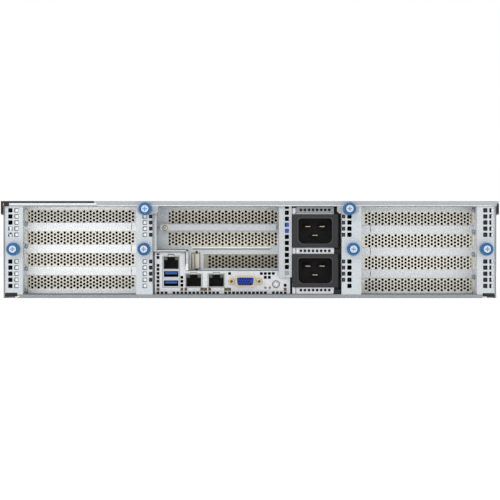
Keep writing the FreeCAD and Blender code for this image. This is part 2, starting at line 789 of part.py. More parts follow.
def port_panel():
    panel = Solid("port_plate")
    floor = "gauge + seat_gap"
    outline = [("-centre_left", floor), ("port_panel_right", floor), ("port_panel_right", "port_panel_top"),
               ("-port_tower_right", "port_panel_top"), ("-port_tower_right", "port_tower_top"),
               ("-centre_left", "port_tower_top")]
    panel.pad("XZ_Plane", [outline], PORT_FACE, "port_tray")
    inner = [("-centre_left + gauge", f"{floor} - 1"), ("port_panel_right - gauge", f"{floor} - 1"),
             ("port_panel_right - gauge", "port_panel_top - gauge"),
             ("-port_tower_right - gauge", "port_panel_top - gauge"),
             ("-port_tower_right - gauge", "port_tower_top - gauge"),
             ("-centre_left + gauge", "port_tower_top - gauge")]
    panel.pocket("XZ_Plane", [inner], f"{PORT_FACE} + gauge", "port_tray")
    half, gap = "port_vent / 2", "seat_gap"
    vents = []
    for column, row, columns, rows in PORT_VENTS:
        for across in range(columns):
            for up in range(rows):
                x = f"-port_vent_left + {column + across} * port_vent_step"
                z = f"port_vent_low + {row + up} * port_vent_step"
                vents.append(block("port_vent", (f"{x} - {half}", f"{PORT_FACE} - 1", f"{z} - {half}"),
                                   ("port_vent", "gauge + 2", "port_vent")))
    ports = [rectangle(f"{x} - network_width / 2 - {gap}", f"{z} - {gap}", f"{x} + network_width / 2 + {gap}",
                       f"{z} + network_height + {gap}") for x, z in network_places()[1:]]
    ports.append(rectangle(f"-usb_stack - network_width / 2 - {gap}", f"{BOARD_TOP} - {gap}",
                           f"-usb_stack + network_width / 2 + {gap}",
                           f"{BOARD_TOP} + usb_stack_height + network_height + {gap}"))
    ports.append(video_outline(f"video_wall + {gap}"))
    panel.pocket("XZ_Plane", ports, f"{PORT_FACE} - 1", "gauge + 2")
    y = f"{PORT_FACE} - 1"
    holes = [prism("locator_hole", 12, ("locator_x", y, "locator_height"), "button_radius + button_gap",
                   "gauge + 2")]
    for sign in (-1, 1):
        holes.append(prism("jack_hole", 8, (f"-video_centre + {sign} * jack_spacing / 2", y, "video_height"),
                           "jack_bore + 0.8", "gauge + 2"))
    for step in (0, 1):
        holes.append(prism("lamp_hole", 8, (f"lamp_x + {step} * lamp_step", y, "lamp_height"), "lamp_radius",
                           "gauge + 2"))
    plate = cut("port_plate_holes", panel.body, holes)
    return sub_part(cut("port_panel", plate, [group("port_vents", vents)]), "port_panel")


def video_outline(grow):
    """The D shape of the video socket, grown all round."""
    wide, low = f"(video_width / 2 - video_wall + {grow})", f"(video_width / 2 - video_wall - video_slant + {grow})"
    tall = f"(video_tall / 2 - video_wall + {grow})"
    corner = "1.6"
    x, z = "-video_centre", "video_height"
    return [(f"{x} - {wide} + {corner}", f"{z} + {tall}"), (f"{x} - {wide}", f"{z} + {tall} - {corner}"),
            (f"{x} - {low}", f"{z} - {tall} + {corner}"), (f"{x} - {low} + {corner}", f"{z} - {tall}"),
            (f"{x} + {low} - {corner}", f"{z} - {tall}"), (f"{x} + {low}", f"{z} - {tall} + {corner}"),
            (f"{x} + {wide}", f"{z} + {tall} - {corner}"), (f"{x} + {wide} - {corner}", f"{z} + {tall}")]


def network_sockets():
    face = f"({PORT_FACE} - socket_proud)"
    shells, inserts = [], []
    for number, (x, z) in enumerate(network_places()):
        body = block("network_body", (f"{x} - network_width / 2", face, z),
                     ("network_width", "network_length", "network_height"))
        room = block("network_room", (f"{x} - network_width / 2 + network_wall", f"{face} - 1",
                                      f"{z} + network_wall"),
                     ("network_width - 2 * network_wall", "network_length - network_wall + 1",
                      "network_height - 2 * network_wall"))
        shells.append(cut(f"network_shell_{number}", body, [room]))
        core = block("network_core", (f"{x} - network_width / 2 + network_wall", face, f"{z} + network_wall"),
                     ("network_width - 2 * network_wall", "network_length - network_wall",
                      "network_height - 2 * network_wall"))
        plug = block("plug_room", (f"{x} - plug_width / 2", f"{face} - 1", f"{z} + network_wall + 0.4"),
                     ("plug_width", "plug_depth + 1", "plug_height"))
        latch = block("latch_room", (f"{x} - latch_width / 2", f"{face} - 1",
                                     f"{z} + network_wall + 0.4 + plug_height - 0.1"),
                      ("latch_width", "plug_depth + 1", "latch_height"))
        inserts.append(cut(f"network_insert_{number}", core, [plug, latch]))
    sub_part(group("network_shells", shells), "rj45_shells")
    sub_part(group("network_inserts", inserts), "rj45_inserts")


def usb_sockets():
    face = f"({PORT_FACE} - socket_proud)"
    left = "(-usb_stack - usb_width / 2)"
    body = block("usb_body", (left, face, BOARD_TOP), ("usb_width", "network_length", "usb_stack_height"))
    rooms, tongues = [], []
    for level in range(2):
        foot = f"({BOARD_TOP} + usb_low + {level} * usb_pitch)"
        rooms.append(block("usb_room", ("-usb_stack - usb_opening_width / 2", f"{face} - 1", foot),
                           ("usb_opening_width", "network_length - 2", "usb_opening_height")))
        top = f"{foot} + usb_opening_height - 0.9 - usb_tongue"
        tongues.append(block("usb_tongue", ("-usb_stack - usb_opening_width / 2 + 1", f"{face} + 1.2", top),
                             ("usb_opening_width - 2", "network_length - 4.2", "usb_tongue")))
    sub_part(cut("usb_shells", body, rooms), "usb_shells")
    sub_part(group("usb_tongues", tongues), "usb_tongues")


def video_socket():
    shell = Solid("video_shell")
    start = f"({PORT_FACE} - video_proud)"
    shell.pad("XZ_Plane", [video_outline("video_wall")], start, "video_proud + 9")
    shell.pocket("XZ_Plane", [video_outline("0")], f"{start} - 1", "video_proud + 6.5")
    sub_part(shell.body, "vga_shell")
    insert = Solid("video_insert")
    insert.pad("XZ_Plane", [video_outline("-0.9")], f"{start} + 0.6", "video_proud + 4.9")
    sub_part(insert.body, "vga_insert")
    jacks = []
    for sign in (-1, 1):
        x = f"-video_centre + {sign} * jack_spacing / 2"
        nut = prism("jack_nut", 6, (x, f"{PORT_FACE} - 4.8", "video_height"), "jack_radius", "4.8")
        stem = prism("jack_stem", 8, (x, PORT_FACE, "video_height"), "jack_bore + 0.6", "5")
        bore = rod("jack_thread", (x, f"{PORT_FACE} - 5.8", "video_height"), "jack_bore", "8")
        jacks.append(cut("jackscrew", join("jack", [nut, stem]), [bore]))
    sub_part(group("vga_jackscrews", jacks), "vga_jackscrews")


def push_button(label, x, z, face, radius, way):
    """A stepped button: its cap stands in the panel's hole and its flange behind the panel. way is +1 to press +Y."""
    along, toward = ("+y", 1) if way > 0 else ("-y", -1)
    cap = prism("button_cap", 12, (x, f"{face} - {toward} * 0.6", z), radius,
                "gauge + 0.6 + button_travel + seat_gap", along)
    flange = prism("button_flange", 12, (x, f"{face} + {toward} * (gauge + seat_gap)", z), f"{radius} + 1.1",
                   "1.6", along)
    return sub_part(join(label, [cap, flange]), label)


# Power inlets

def inlet_heights():
    return [f"(inlet_mid + {sign} * inlet_pitch / 2)" for sign in (0.5 * 2, -0.5 * 2)]


def inlet_bracket():
    plate = Solid("inlet_plate")
    left, right = "(inlet_x - inlet_plate_width / 2)", "(inlet_x + inlet_plate_width / 2)"
    plate.pad("XZ_Plane", [rectangle(left, "gauge", right, f"{CAGE_TOP} - 1")], INLET_FACE, "gauge")
    foot = [rectangle(left, f"{INLET_FACE} + gauge", right, f"{INLET_FACE} + 16")]
    plate.pad("XY_Plane", foot, "gauge", "gauge")
    mouths = [rectangle("inlet_x - inlet_body_width / 2 + 1.5", f"{z} - inlet_body_height / 2 - seat_gap",
                        "inlet_x + inlet_body_width / 2 - 1.5", f"{z} + inlet_body_height / 2 + seat_gap")
              for z in inlet_heights()]
    plate.pocket("XZ_Plane", mouths, f"{INLET_FACE} - 1", "gauge + 2")
    rows = ["inlet_mid", f"inlet_mid + inlet_pitch / 2 + inlet_flange_height / 2 + 3.9",
            f"inlet_mid - inlet_pitch / 2 - inlet_flange_height / 2 - 2.4"]
    first = "(inlet_x - 3.5 * inlet_vent_step)"
    vents = [polygon(first, z, "inlet_vent_radius", 6) for z in rows]
    hole = plate.pocket("XZ_Plane", vents, f"{INLET_FACE} - 1", "gauge + 2")
    plate.repeat(hole, "X", "inlet_vent_step", 8)
    return sub_part(plate.body, "inlet_bracket")


def power_inlets():
    inlets, pins = [], []
    flange_face = f"({INLET_FACE} - inlet_flange_gauge)"
    for number, z in enumerate(inlet_heights()):
        inlet = Solid(f"inlet_{number}")
        inlet.pad("XZ_Plane", [rectangle("inlet_x - inlet_flange_width / 2", f"{z} - inlet_flange_height / 2",
                                         "inlet_x + inlet_flange_width / 2", f"{z} + inlet_flange_height / 2")],
                  flange_face, "inlet_flange_gauge")
        inlet.pad("XZ_Plane", [rectangle("inlet_x - inlet_body_width / 2 + 1.7", f"{z} - inlet_body_height / 2",
                                         "inlet_x + inlet_body_width / 2 - 1.7", f"{z} + inlet_body_height / 2")],
                  flange_face, "inlet_depth")
        inlet.pocket("XZ_Plane", [mouth_outline(z)], flange_face, "inlet_mouth_depth")
        inlets.append(inlet.body)
        for dx, dz in ((-0.5, "pin_rise"), (0.5, "pin_rise"), (0, "-pin_drop")):
            pin = Solid("pin")
            x = f"(inlet_x + {dx} * pin_spacing)"
            tip = f"({flange_face} + inlet_mouth_depth - pin_length)"
            pin.pad("XY_Plane", [[
                (f"{x} - pin_width / 2", f"{tip} + pin_length"), (f"{x} - pin_width / 2", f"{tip} + 1.2"),
                (f"{x} - pin_width / 2 + 1", tip), (f"{x} + pin_width / 2 - 1", tip),
                (f"{x} + pin_width / 2", f"{tip} + 1.2"), (f"{x} + pin_width / 2", f"{tip} + pin_length"),
            ]], f"{z} + {dz} - pin_gauge / 2", "pin_gauge")
            pins.append(pin.body)
    sub_part(group("power_inlets", inlets), "power_inlets")
    sub_part(group("inlet_pins", pins), "inlet_pins")


def mouth_outline(z):
    """The inlet's opening, with its four corners cut."""
    wide, tall, corner = "inlet_mouth_width / 2", "inlet_mouth_height / 2", "mouth_corner"
    x = "inlet_x"
    return [(f"{x} - {wide} + {corner} / 2", f"{z} - {tall}"), (f"{x} + {wide} - {corner} / 2", f"{z} - {tall}"),
            (f"{x} + {wide}", f"{z} - {tall} + {corner}"), (f"{x} + {wide}", f"{z} + {tall} - {corner} / 3"),
            (f"{x} + {wide} - {corner} / 3", f"{z} + {tall}"), (f"{x} - {wide} + {corner} / 3", f"{z} + {tall}"),
            (f"{x} - {wide}", f"{z} + {tall} - {corner} / 3"), (f"{x} - {wide}", f"{z} - {tall} + {corner}")]


def power_supplies():
    start = f"({INLET_FACE} - inlet_flange_gauge + inlet_depth)"
    cases = []
    for level in range(2):
        foot = f"(gauge + seat_gap + {level} * (supply_height + seat_gap))"
        case = block("supply_case", ("inlet_x - supply_width / 2", start, foot),
                     ("supply_width", "supply_length", "supply_height"))
        grille = block("supply_grille", ("inlet_x - supply_width / 2 + 4", f"{start} + supply_length - 3",
                                         f"{foot} + 4"), ("supply_width - 8", "4", "supply_height - 8"))
        cases.append(cut("supply", case, [grille]))
    return sub_part(group("power_supplies", cases), "power_supplies")


# Boards and what stands on them

def motherboard():
    board = Solid("board")
    head_end = f"{HEAD_START} + board_head_depth"
    board.pad("XY_Plane", [[
        ("-board_stem_left", f"{PORT_FACE} + board_setback"),
        ("board_stem_right - gauge", f"{PORT_FACE} + board_setback"),
        ("board_stem_right - gauge", HEAD_START), ("board_head_width / 2", HEAD_START),
        ("board_head_width / 2", head_end), ("-board_head_width / 2", head_end),
        ("-board_head_width / 2", HEAD_START), ("-board_stem_left", HEAD_START),
    ]], f"{BOARD_TOP} - board_gauge", "board_gauge")
    y = f"({HEAD_START} + board_head_depth / 2)"
    for side in (-1, 1):
        for first in ("module_first", "module_outer"):
            x = f"({side} * {first})"
            socket = [rectangle(f"{x} - module_gauge - 1.8", f"{y} - module_length / 2 - 4",
                                f"{x} + module_gauge + 1.8", f"{y} + module_length / 2 + 4")]
            pad = board.pad("XY_Plane", socket, BOARD_TOP, "module_socket")
            step = board.repeat(pad, "X", "module_pitch", MODULES_PER_BANK)
            step.Reversed = side < 0
    for side in (-1, 1):
        x = f"({side} * heatsink_x)"
        board.pad("XY_Plane", [rectangle(f"{x} - 30", f"{y} - 40", f"{x} + 30", f"{y} + 40")], BOARD_TOP, "5")
    return sub_part(board.body, "motherboard")


def heatsinks():
    sinks = []
    y = f"({HEAD_START} + board_head_depth / 2)"
    for side in (-1, 1):
        x = f"({side} * heatsink_x)"
        sink = Solid("heatsink")
        foot = f"({BOARD_TOP} + 5)"
        ends = (f"{y} - heatsink_length / 2", f"{y} + heatsink_length / 2")
        sink.pad("XY_Plane", [rectangle(f"{x} - heatsink_width / 2", ends[0], f"{x} + heatsink_width / 2", ends[1])],
                 foot, "heatsink_base")
        fin = sink.pad("XY_Plane", [rectangle(f"{x} - heatsink_width / 2", ends[0],
                                              f"{x} - heatsink_width / 2 + fin_gauge", ends[1])],
                       f"{foot} + heatsink_base", "heatsink_height - heatsink_base")
        sink.repeat(fin, "X", f"(heatsink_width - fin_gauge) / {FIN_COUNT - 1}", FIN_COUNT)
        sinks.append(sink.body)
    return sub_part(group("cpu_heatsinks", sinks), "cpu_heatsinks")


def memory_modules():
    modules = []
    y = f"({HEAD_START} + board_head_depth / 2)"
    for side in (-1, 1):
        for first in ("module_first", "module_outer"):
            for index in range(MODULES_PER_BANK):
                x = f"({side} * ({first} + {index} * module_pitch))"
                modules.append(block("module", (f"{x} - module_gauge / 2", f"{y} - module_length / 2",
                                                f"{BOARD_TOP} + module_socket"),
                                     ("module_gauge", "module_length", "module_height")))
    return sub_part(group("memory_modules", modules), "memory_modules")


def riser_cards():
    """A card on each cage's long wall, and one that stands on the board for the centre slots."""
    cards = []
    start = f"({REAR} + riser_card_start)"
    for side in (-1, 1):
        name = cage_names(side)
        wall = f"outer_post + window_{name} + inner_post_{name} - gauge"
        card = Solid(f"card_{name}")
        card.pad("XY_Plane", [rectangle(cage_x(side, wall), start, cage_x(side, f"{wall} - board_gauge"),
                                        f"{start} + riser_card_length")], "cage_base + 4",
                 f"{CAGE_TOP} - cage_base - 8")
        connector_row(card, cage_x(side, f"{wall} - board_gauge"),
                      cage_x(side, f"{wall} - board_gauge - slot_connector_depth"), start, SLOTS - 1, SLOTS)
        cards.append(card.body)
    card = Solid("card_centre")
    face = "(-board_stem_left + 4)"
    card.pad("XY_Plane", [rectangle(face, start, f"{face} + board_gauge", f"{start} + riser_card_length")],
             BOARD_TOP, f"{CAGE_TOP} - 4 - {BOARD_TOP}")
    connector_row(card, f"{face} + board_gauge", f"{face} + board_gauge + slot_connector_depth", start, 2, 3)
    cards.append(card.body)
    return sub_part(group("riser_cards", cards), "riser_cards")


def connector_row(card, near, far, start, lowest, count):
    """Slot connectors on a card, from the lowest slot up."""
    z = slot_height_of(lowest)
    first = card.pad("XY_Plane", [rectangle(near, f"{start} + 4", far, f"{start} + 4 + slot_connector_length")],
                     f"{z} - slot_connector_height / 2", "slot_connector_height")
    card.repeat(first, "Z", "slot_pitch", count)


# Fans

def fan_x(number):
    return f"({number - (FANS - 1) / 2} * fan_pitch)"


def fan_mid():
    return "(gauge + seat_gap + fan_size / 2)"


def fan_bulkhead():
    """An upright sheet with one window per fan, and dividers that part the fans."""
    wall = Solid("bulkhead")
    face = f"({FAN_Y} - gauge)"
    edge = f"({INNER_HALF} - seat_gap)"
    wall.pad("XZ_Plane", [rectangle(f"-{edge}", "gauge", edge, f"{fan_mid()} + fan_size / 2")], face, "gauge")
    half = "fan_window / 2"
    window = wall.pocket("XZ_Plane", [rectangle(f"{fan_x(0)} - {half}", f"{fan_mid()} - {half}",
                                                f"{fan_x(0)} + {half}", f"{fan_mid()} + {half}")],
                         f"{face} - 1", "gauge + 2")
    wall.repeat(window, "X", "fan_pitch", FANS)
    divider = wall.pad("XY_Plane", [rectangle(f"{fan_x(0)} - fan_pitch / 2 - gauge / 2", FAN_Y,
                                              f"{fan_x(0)} - fan_pitch / 2 + gauge / 2",
                                              f"{FAN_Y} + fan_depth")], "gauge", "fan_size - 6")
    wall.repeat(divider, "X", "fan_pitch", FANS + 1)
    return sub_part(wall.body, "fan_bulkhead")


def fan_frames():
    frames = []
    for number in range(FANS):
        x = fan_x(number)
        case = block("fan_case", (f"{x} - fan_size / 2", FAN_Y, f"{fan_mid()} - fan_size / 2"),
                     ("fan_size", "fan_depth", "fan_size"))
        duct = prism("fan_duct", 16, (x, f"{FAN_Y} - 1", fan_mid()), "fan_bore", "fan_depth + 2")
        ring = cut("fan_ring", case, [duct])
        stator_y = f"({FAN_Y} + fan_depth - stator_gauge)"
        bars = [block("stator_bar", (f"{x} - fan_bore - 0.5", stator_y, f"{fan_mid()} - stator_bar / 2"),
                      ("2 * fan_bore + 1", "stator_gauge", "stator_bar")),
                block("stator_bar", (f"{x} - stator_bar / 2", stator_y, f"{fan_mid()} - fan_bore - 0.5"),
                      ("stator_bar", "stator_gauge", "2 * fan_bore + 1")),
                prism("stator_disc", 8, (x, stator_y, fan_mid()), "hub_radius", "stator_gauge")]
        whole = join("fan_body", [ring] + bars)
        bearing = prism("fan_bearing", 8, (x, f"{stator_y} - 1", fan_mid()), "axle_radius + axle_gap",
                        "stator_gauge + 2")
        frames.append(cut("fan_frame", whole, [bearing]))
    return sub_part(group("fan_frames", frames), "fan_frames")


def fan_rotor(number):
    """A hub and its axle with raked blades, turned out of flat plates."""
    x, z = fan_x(number), fan_mid()
    end = f"({FAN_Y} + fan_depth - stator_gauge - 1)"
    hub = prism("hub", 2 * BLADES, (x, f"{end} - hub_length", z), "hub_radius", "hub_length")
    axle = prism("axle", 8, (x, end, z), "axle_radius", "stator_gauge + 0.6")
    blades = []
    for index in range(BLADES):
        turn = 360.0 * index / BLADES
        blade = DOC.addObject("Part::Box", "blade")
        bind(blade, "Length", "blade_length")
        bind(blade, "Width", "blade_gauge")
        bind(blade, "Height", "rotor_radius - hub_radius + 3")
        rake = FreeCAD.Rotation(FreeCAD.Vector(0, 0, 1), 52)
        blade.Placement.Rotation = FreeCAD.Rotation(FreeCAD.Vector(0, 1, 0), turn).multiply(rake)
        lean = math.radians(turn)
        sin, cos = f"{math.sin(lean):.6f}", f"{math.cos(lean):.6f}"
        back = "blade_length * 0.307831"
        side = f"({back})"
        place(blade, (f"{x} + {sin} * (hub_radius - 3) - {cos} * {side}",
                      f"{end} - hub_length / 2 - blade_length * 0.394005",
                      f"{z} + {cos} * (hub_radius - 3) + {sin} * {side}"))
        blades.append(blade)
    label = f"fan_rotor_{number + 1}"
    return sub_part(join(label, [hub, axle] + blades), label)


# Thumbscrews

def thumbscrew(label, x, z, seat):
    """A captive screw: a grip sleeve pressed on a steel core whose shank reaches the frame's thread."""
    grip = prism("grip", 16, (x, f"{seat} - seat_gap", z), "knob_radius", "knob_length", "-y")
    room = prism("grip_room", 8, (x, f"{seat} - seat_gap + 1", z), "core_radius", "knob_length + 2", "-y")
    sleeve = cut("sleeve", grip, [room])
    head = prism("core", 8, (x, f"{seat} - seat_gap", z), "core_radius", "knob_length - 0.8", "-y")
    shank = prism("shank", 8, (x, f"{seat} - seat_gap", z), "shank_radius", "shank_reach")
    core = join("screw", [head, shank])
    return sub_part(group(label, [sleeve, core]), label)


# Covers

def cover_profile():
    """The cross-section of the lid: its top plate and two skirts."""
    inner = f"({COVER_HALF} - cover_gauge)"
    under, foot = "(body_height - cover_gauge)", "(body_height - cover_skirt)"
    return [(f"-{COVER_HALF}", foot), (f"-{inner}", foot), (f"-{inner}", under), (inner, under), (inner, foot),
            (COVER_HALF, foot), (COVER_HALF, "body_height"), (f"-{COVER_HALF}", "body_height")]


def top_cover():
    cover = Solid("cover")
    cover.pad("XZ_Plane", [cover_profile()], HEM_FACE, f"{COVER_FRONT} - {HEM_FACE}")
    hem = "(body_height - cover_hem)"
    drop = "(body_height - tab_drop)"
    under = "(body_height - cover_gauge)"
    half = f"({COVER_HALF} - cover_gauge)"
    left, right = ([f"{post_x(side, inset)} + {sign} * tab_width / 2" for sign in (-1, 1)]
                   for side, inset in ((-1, "tab_inset_left"), (1, "tab_inset_right")))
    corner = "2"
    outline = [(f"-{half}", under), (f"-{half}", hem), (left[0], hem), (left[0], f"{drop} + {corner}"),
               (f"{left[0]} + {corner}", drop), (f"{left[1]} - {corner}", drop), (left[1], f"{drop} + {corner}"),
               (left[1], hem), (right[0], hem), (right[0], f"{drop} + {corner}"), (f"{right[0]} + {corner}", drop),
               (f"{right[1]} - {corner}", drop), (right[1], f"{drop} + {corner}"), (right[1], hem), (half, hem),
               (half, under)]
    cover.pad("XZ_Plane", [outline], HEM_FACE, "cover_gauge")
    grips = [rectangle(f"{x} - 22", f"{COVER_FRONT} - 60", f"{x} + 22", f"{COVER_FRONT} - 40")
             for x in ("-110", "110")]
    cover.pocket("XY_Plane", grips, "body_height", "cover_gauge / 2", "-")
    holes = screw_holes("cover", "hole_clearance", "3 * cover_gauge", f"{HEM_FACE} - cover_gauge",
                        lambda label: label.startswith("cover"))
    return sub_part(cut("top_cover", cover.body, holes), "top_cover")


def cover_edge_strip():
    """Dark edge trim on the cover's rear: a strip along the top left, and a pad at each skirt's end."""
    face = f"({HEM_FACE} - strip_gauge)"
    strip = block("strip", (f"-{COVER_HALF}", face, "body_height - strip_height"),
                  ("strip_length", "strip_gauge", "strip_height"))
    corner = block("strip_corner", (f"-{COVER_HALF} + 2.6", face, "body_height - cover_hem"),
                   ("4.6", "strip_gauge", "cover_hem - strip_height + 0.1"))
    pads = [block("skirt_pad", (f"-{COVER_HALF}", face, "body_height - cover_skirt + 1"),
                  ("1.7", "strip_gauge", "cover_skirt - 1 - strip_height + 0.1"))]
    left = join("left_trim", [strip, corner] + pads)
    right = block("right_pad", (f"{COVER_HALF} - 1.7", face, "body_height - cover_skirt + 1"),
                  ("1.7", "strip_gauge", "cover_skirt - 3.4"))
    return sub_part(group("cover_edge_strip", [left, right]), "cover_edge_strip")


def front_top_panel():
    """The fixed lid over the drives, from the removable cover to the front."""
    panel = Solid("front_lid")
    start = f"({COVER_FRONT} + seat_gap)"
    panel.pad("XZ_Plane", [cover_profile()], start, f"{FRONT} - {start}")
    return sub_part(panel.body, "front_top_panel")


# Front

def bay_mid(number):
    """Z of a drive bay's middle, counted from the top."""
    return f"({MIDDLE} + {(TRAYS - 1) / 2 - number} * bay_pitch)"


def drive_cage():
    """A square tube with a pair of ledges under each drive tray."""
    cage = Solid("drive_cage")
    outer, inner = "(drive_cage_width / 2)", "(drive_cage_width / 2 - gauge)"
    low, high = "(gauge)", f"({WALL_TOP} - gauge)"
    start = f"({FRONT} - gauge - drive_cage_depth)"
    cage.pad("XZ_Plane", [rectangle(f"-{outer}", low, outer, high)], start, "drive_cage_depth")
    sides = []
    for number in range(TRAYS):
        ledge = f"({bay_mid(number)} - bay_pitch / 2)"
        top, under = f"{ledge} + gauge / 2", f"{ledge} - gauge / 2"
        sides += [(inner, top), (f"({inner} - drive_ledge)", top), (f"({inner} - drive_ledge)", under),
                  (inner, under)]
    room = [(inner, f"{high} - gauge")] + sides + [(inner, f"{low} + gauge")]
    room += [(f"-{x}", z) for x, z in reversed(room)]
    cage.pocket("XZ_Plane", [room], f"{start} - 1", "drive_cage_depth + 2")
    return sub_part(cage.body, "drive_cage")


def drive_backplane():
    """The upright board behind the drives, with a connector for each."""
    board = Solid("backplane")
    face = f"({FRONT} - gauge - drive_cage_depth - board_gauge)"
    half = "(drive_cage_width / 2)"
    board.pad("XZ_Plane", [rectangle(f"-{half}", "gauge", half, f"{WALL_TOP} - 2 * gauge")], face,
              "board_gauge")
    z = bay_mid(TRAYS - 1)
    plug = board.pad("XZ_Plane", [rectangle("-22", f"{z} - 3", "22", f"{z} + 3")], f"{face} + board_gauge", "6")
    board.repeat(plug, "Z", "bay_pitch", TRAYS)
    return sub_part(board.body, "drive_backplane")


def drive_tray(number):
    """A carrier with bezel, floor, side rails and ears for its lever, and the drive that it holds."""
    z = bay_mid(number)
    half = "(drive_cage_width / 2 - gauge - tray_gap)"
    tall = "(bay_pitch / 2 - gauge / 2 - tray_gap)"
    back = f"({FRONT} - bezel_depth)"
    carrier = Solid(f"carrier_{number}")
    carrier.pad("XZ_Plane", [rectangle(f"-{half}", f"{z} - {tall}", half, f"{z} + {tall}")], back, "bezel_depth")
    carrier.pad("XZ_Plane", [[
        (f"-{half}", f"{z} + 4"), (f"-{half}", f"{z} - {tall}"), (half, f"{z} - {tall}"), (half, f"{z} + 4"),
        (f"{half} - tray_rail", f"{z} + 4"), (f"{half} - tray_rail", f"{z} - {tall} + tray_floor"),
        (f"-{half} + tray_rail", f"{z} - {tall} + tray_floor"), (f"-{half} + tray_rail", f"{z} + 4"),
    ]], back, "drive_length + seat_gap", "-")
    vent = carrier.pocket("XZ_Plane", [rectangle(f"-{half} + 7", f"{z} + 3.4", f"-{half} + 15", f"{z} + 7")],
                          f"{back} - 1", "bezel_depth + 2")
    carrier.repeat(vent, "X", "14.2", 5)
    pivot_x, pivot_y = lever_pivot()
    ears = []
    for sign in (-1, 1):
        ears.append(block("lever_ear", (f"{pivot_x} - lever_barrel", FRONT,
                                        f"{lever_mid(number)} + {sign} * (lever_height / 2 + seat_gap + 0.6) - 0.6"),
                          ("2 * lever_barrel", "2 * lever_barrel + 0.3", "1.2")))
    pin = prism("lever_pin", 8, (pivot_x, pivot_y, f"{lever_mid(number)} - lever_height / 2 - seat_gap - 1"),
                "lever_pin", "lever_height + 2 * seat_gap + 2", "+z")
    frame = join("carrier", [carrier.body] + ears + [pin])
    drive = block("drive", ("-drive_width / 2", f"{back} - seat_gap - drive_length",
                            f"{z} - {tall} + tray_floor + seat_gap"),
                  ("drive_width", "drive_length", "drive_height"))
    label = f"drive_tray_{number + 1}"
    return sub_part(group(label, [frame, drive]), label)


def lever_pivot():
    return ("(-lever_length / 2)", f"({FRONT} + lever_barrel + 0.3)")


def lever_mid(number):
    return f"({bay_mid(number)} - 3.2)"


def tray_lever(number):
    """The swing lever across a tray's front, on its upright pin."""
    x, y = lever_pivot()
    foot = f"({lever_mid(number)} - lever_height / 2)"
    barrel = prism("barrel", 10, (x, y, foot), "lever_barrel", "lever_height", "+z")
    arm = Solid(f"lever_{number}")
    near = f"({y} - lever_gauge / 2)"
    arm.pad("XY_Plane", [[
        (x, near), (f"{x} + lever_length", near), (f"{x} + lever_length + 2", f"{near} + lever_gauge + 2.2"),
        (f"{x} + lever_length - 5", f"{near} + lever_gauge"), (x, f"{near} + lever_gauge"),
    ]], foot, "lever_height")
    bore = prism("barrel_bore", 8, (x, y, f"{foot} - 1"), "lever_pin + 0.4", "lever_height + 2", "+z")
    label = f"tray_lever_{number + 1}"
    return sub_part(cut(label, join("lever_body", [barrel, arm.body]), [bore]), label)


def front_grille():
    """The perforated face on both sides of the drives."""
    halves = []
    inner, outer = "(drive_cage_width / 2)", f"({INNER_HALF} - seat_gap)"
    low, high = "(gauge)", f"({WALL_TOP} - gauge)"
    for side, edge, count in ((-1, outer, 13), (1, f"({outer} - control_width - seat_gap)", 10)):
        face = Solid("grille")
        face.pad("XZ_Plane", [rectangle(f"{side} * {inner}", low, f"{side} * {edge}", high)], f"{FRONT} - gauge",
                 "gauge")
        left = f"({side} * {edge} + 6)" if side < 0 else f"({inner} + 6)"
        slot = face.pocket("XZ_Plane", [rectangle(left, "grille_slot_foot", f"{left} + grille_slot_width",
                                                  "grille_slot_foot + grille_slot_height")],
                           f"{FRONT} - gauge - 1", "gauge + 2")
        face.repeat(slot, "X", "grille_slot_step", count)
        halves.append(face.body)
    return sub_part(group("front_grille", halves), "front_grille")


def control_x():
    return f"({INNER_HALF} - seat_gap - control_width / 2)"


def control_panel():
    panel = Solid("control")
    left, right = f"({control_x()} - control_width / 2)", f"({control_x()} + control_width / 2)"
    panel.pad("XZ_Plane", [rectangle(left, "gauge", right, f"{WALL_TOP} - gauge")], f"{FRONT} - gauge", "gauge")
    lamps = [rectangle(f"{control_x()} - 1.2", f"{z} - 1.2", f"{control_x()} + 1.2", f"{z} + 1.2")
             for z in ("30", "37", "44")]
    panel.pocket("XZ_Plane", lamps, f"{FRONT} - gauge - 1", "gauge + 2")
    hole = prism("power_hole", 12, (control_x(), f"{FRONT} - gauge - 1", "power_height"),
                 "power_radius + button_gap", "gauge + 2")
    return sub_part(cut("control_panel", panel.body, [hole]), "control_panel")


def rack_ears():
    ears = []
    for side in (-1, 1):
        ear = Solid("ear")
        wall, outer = "(body_width / 2)", EAR_HALF
        ear.pad("XZ_Plane", [rectangle(f"{side} * {wall}", "0.5", f"{side} * {outer}", "body_height - 0.5")],
                FRONT, "ear_gauge", "+")
        ear.pad("XZ_Plane", [rectangle(f"{side} * {wall}", "6", f"{side} * ({wall} + 1.5)",
                                       "body_height - cover_skirt - 6")], FRONT, "ear_arm", "-")
        slots = []
        for sign in (-1, 1):
            z = f"({MIDDLE} + {sign} * rack_hole_rise / 2)"
            straight = "(rack_slot_length / 2 - rack_slot_radius)"
            centre = f"{side} * ({EAR_HALF} - rack_hole_inset)"
            slots.append(block("slot_middle", (f"{centre} - {straight}", f"{FRONT} - 1", f"{z} - rack_slot_radius"),
                               (f"2 * {straight}", "ear_gauge + 2", "2 * rack_slot_radius")))
            for end in (-1, 1):
                slots.append(rod("slot_end", (f"{centre} + {end} * {straight}", f"{FRONT} - 1", z),
                                 "rack_slot_radius", "ear_gauge + 2"))
        ears.append(cut("rack_ear", ear.body, slots))
    return sub_part(group("rack_ears", ears), "rack_ears")


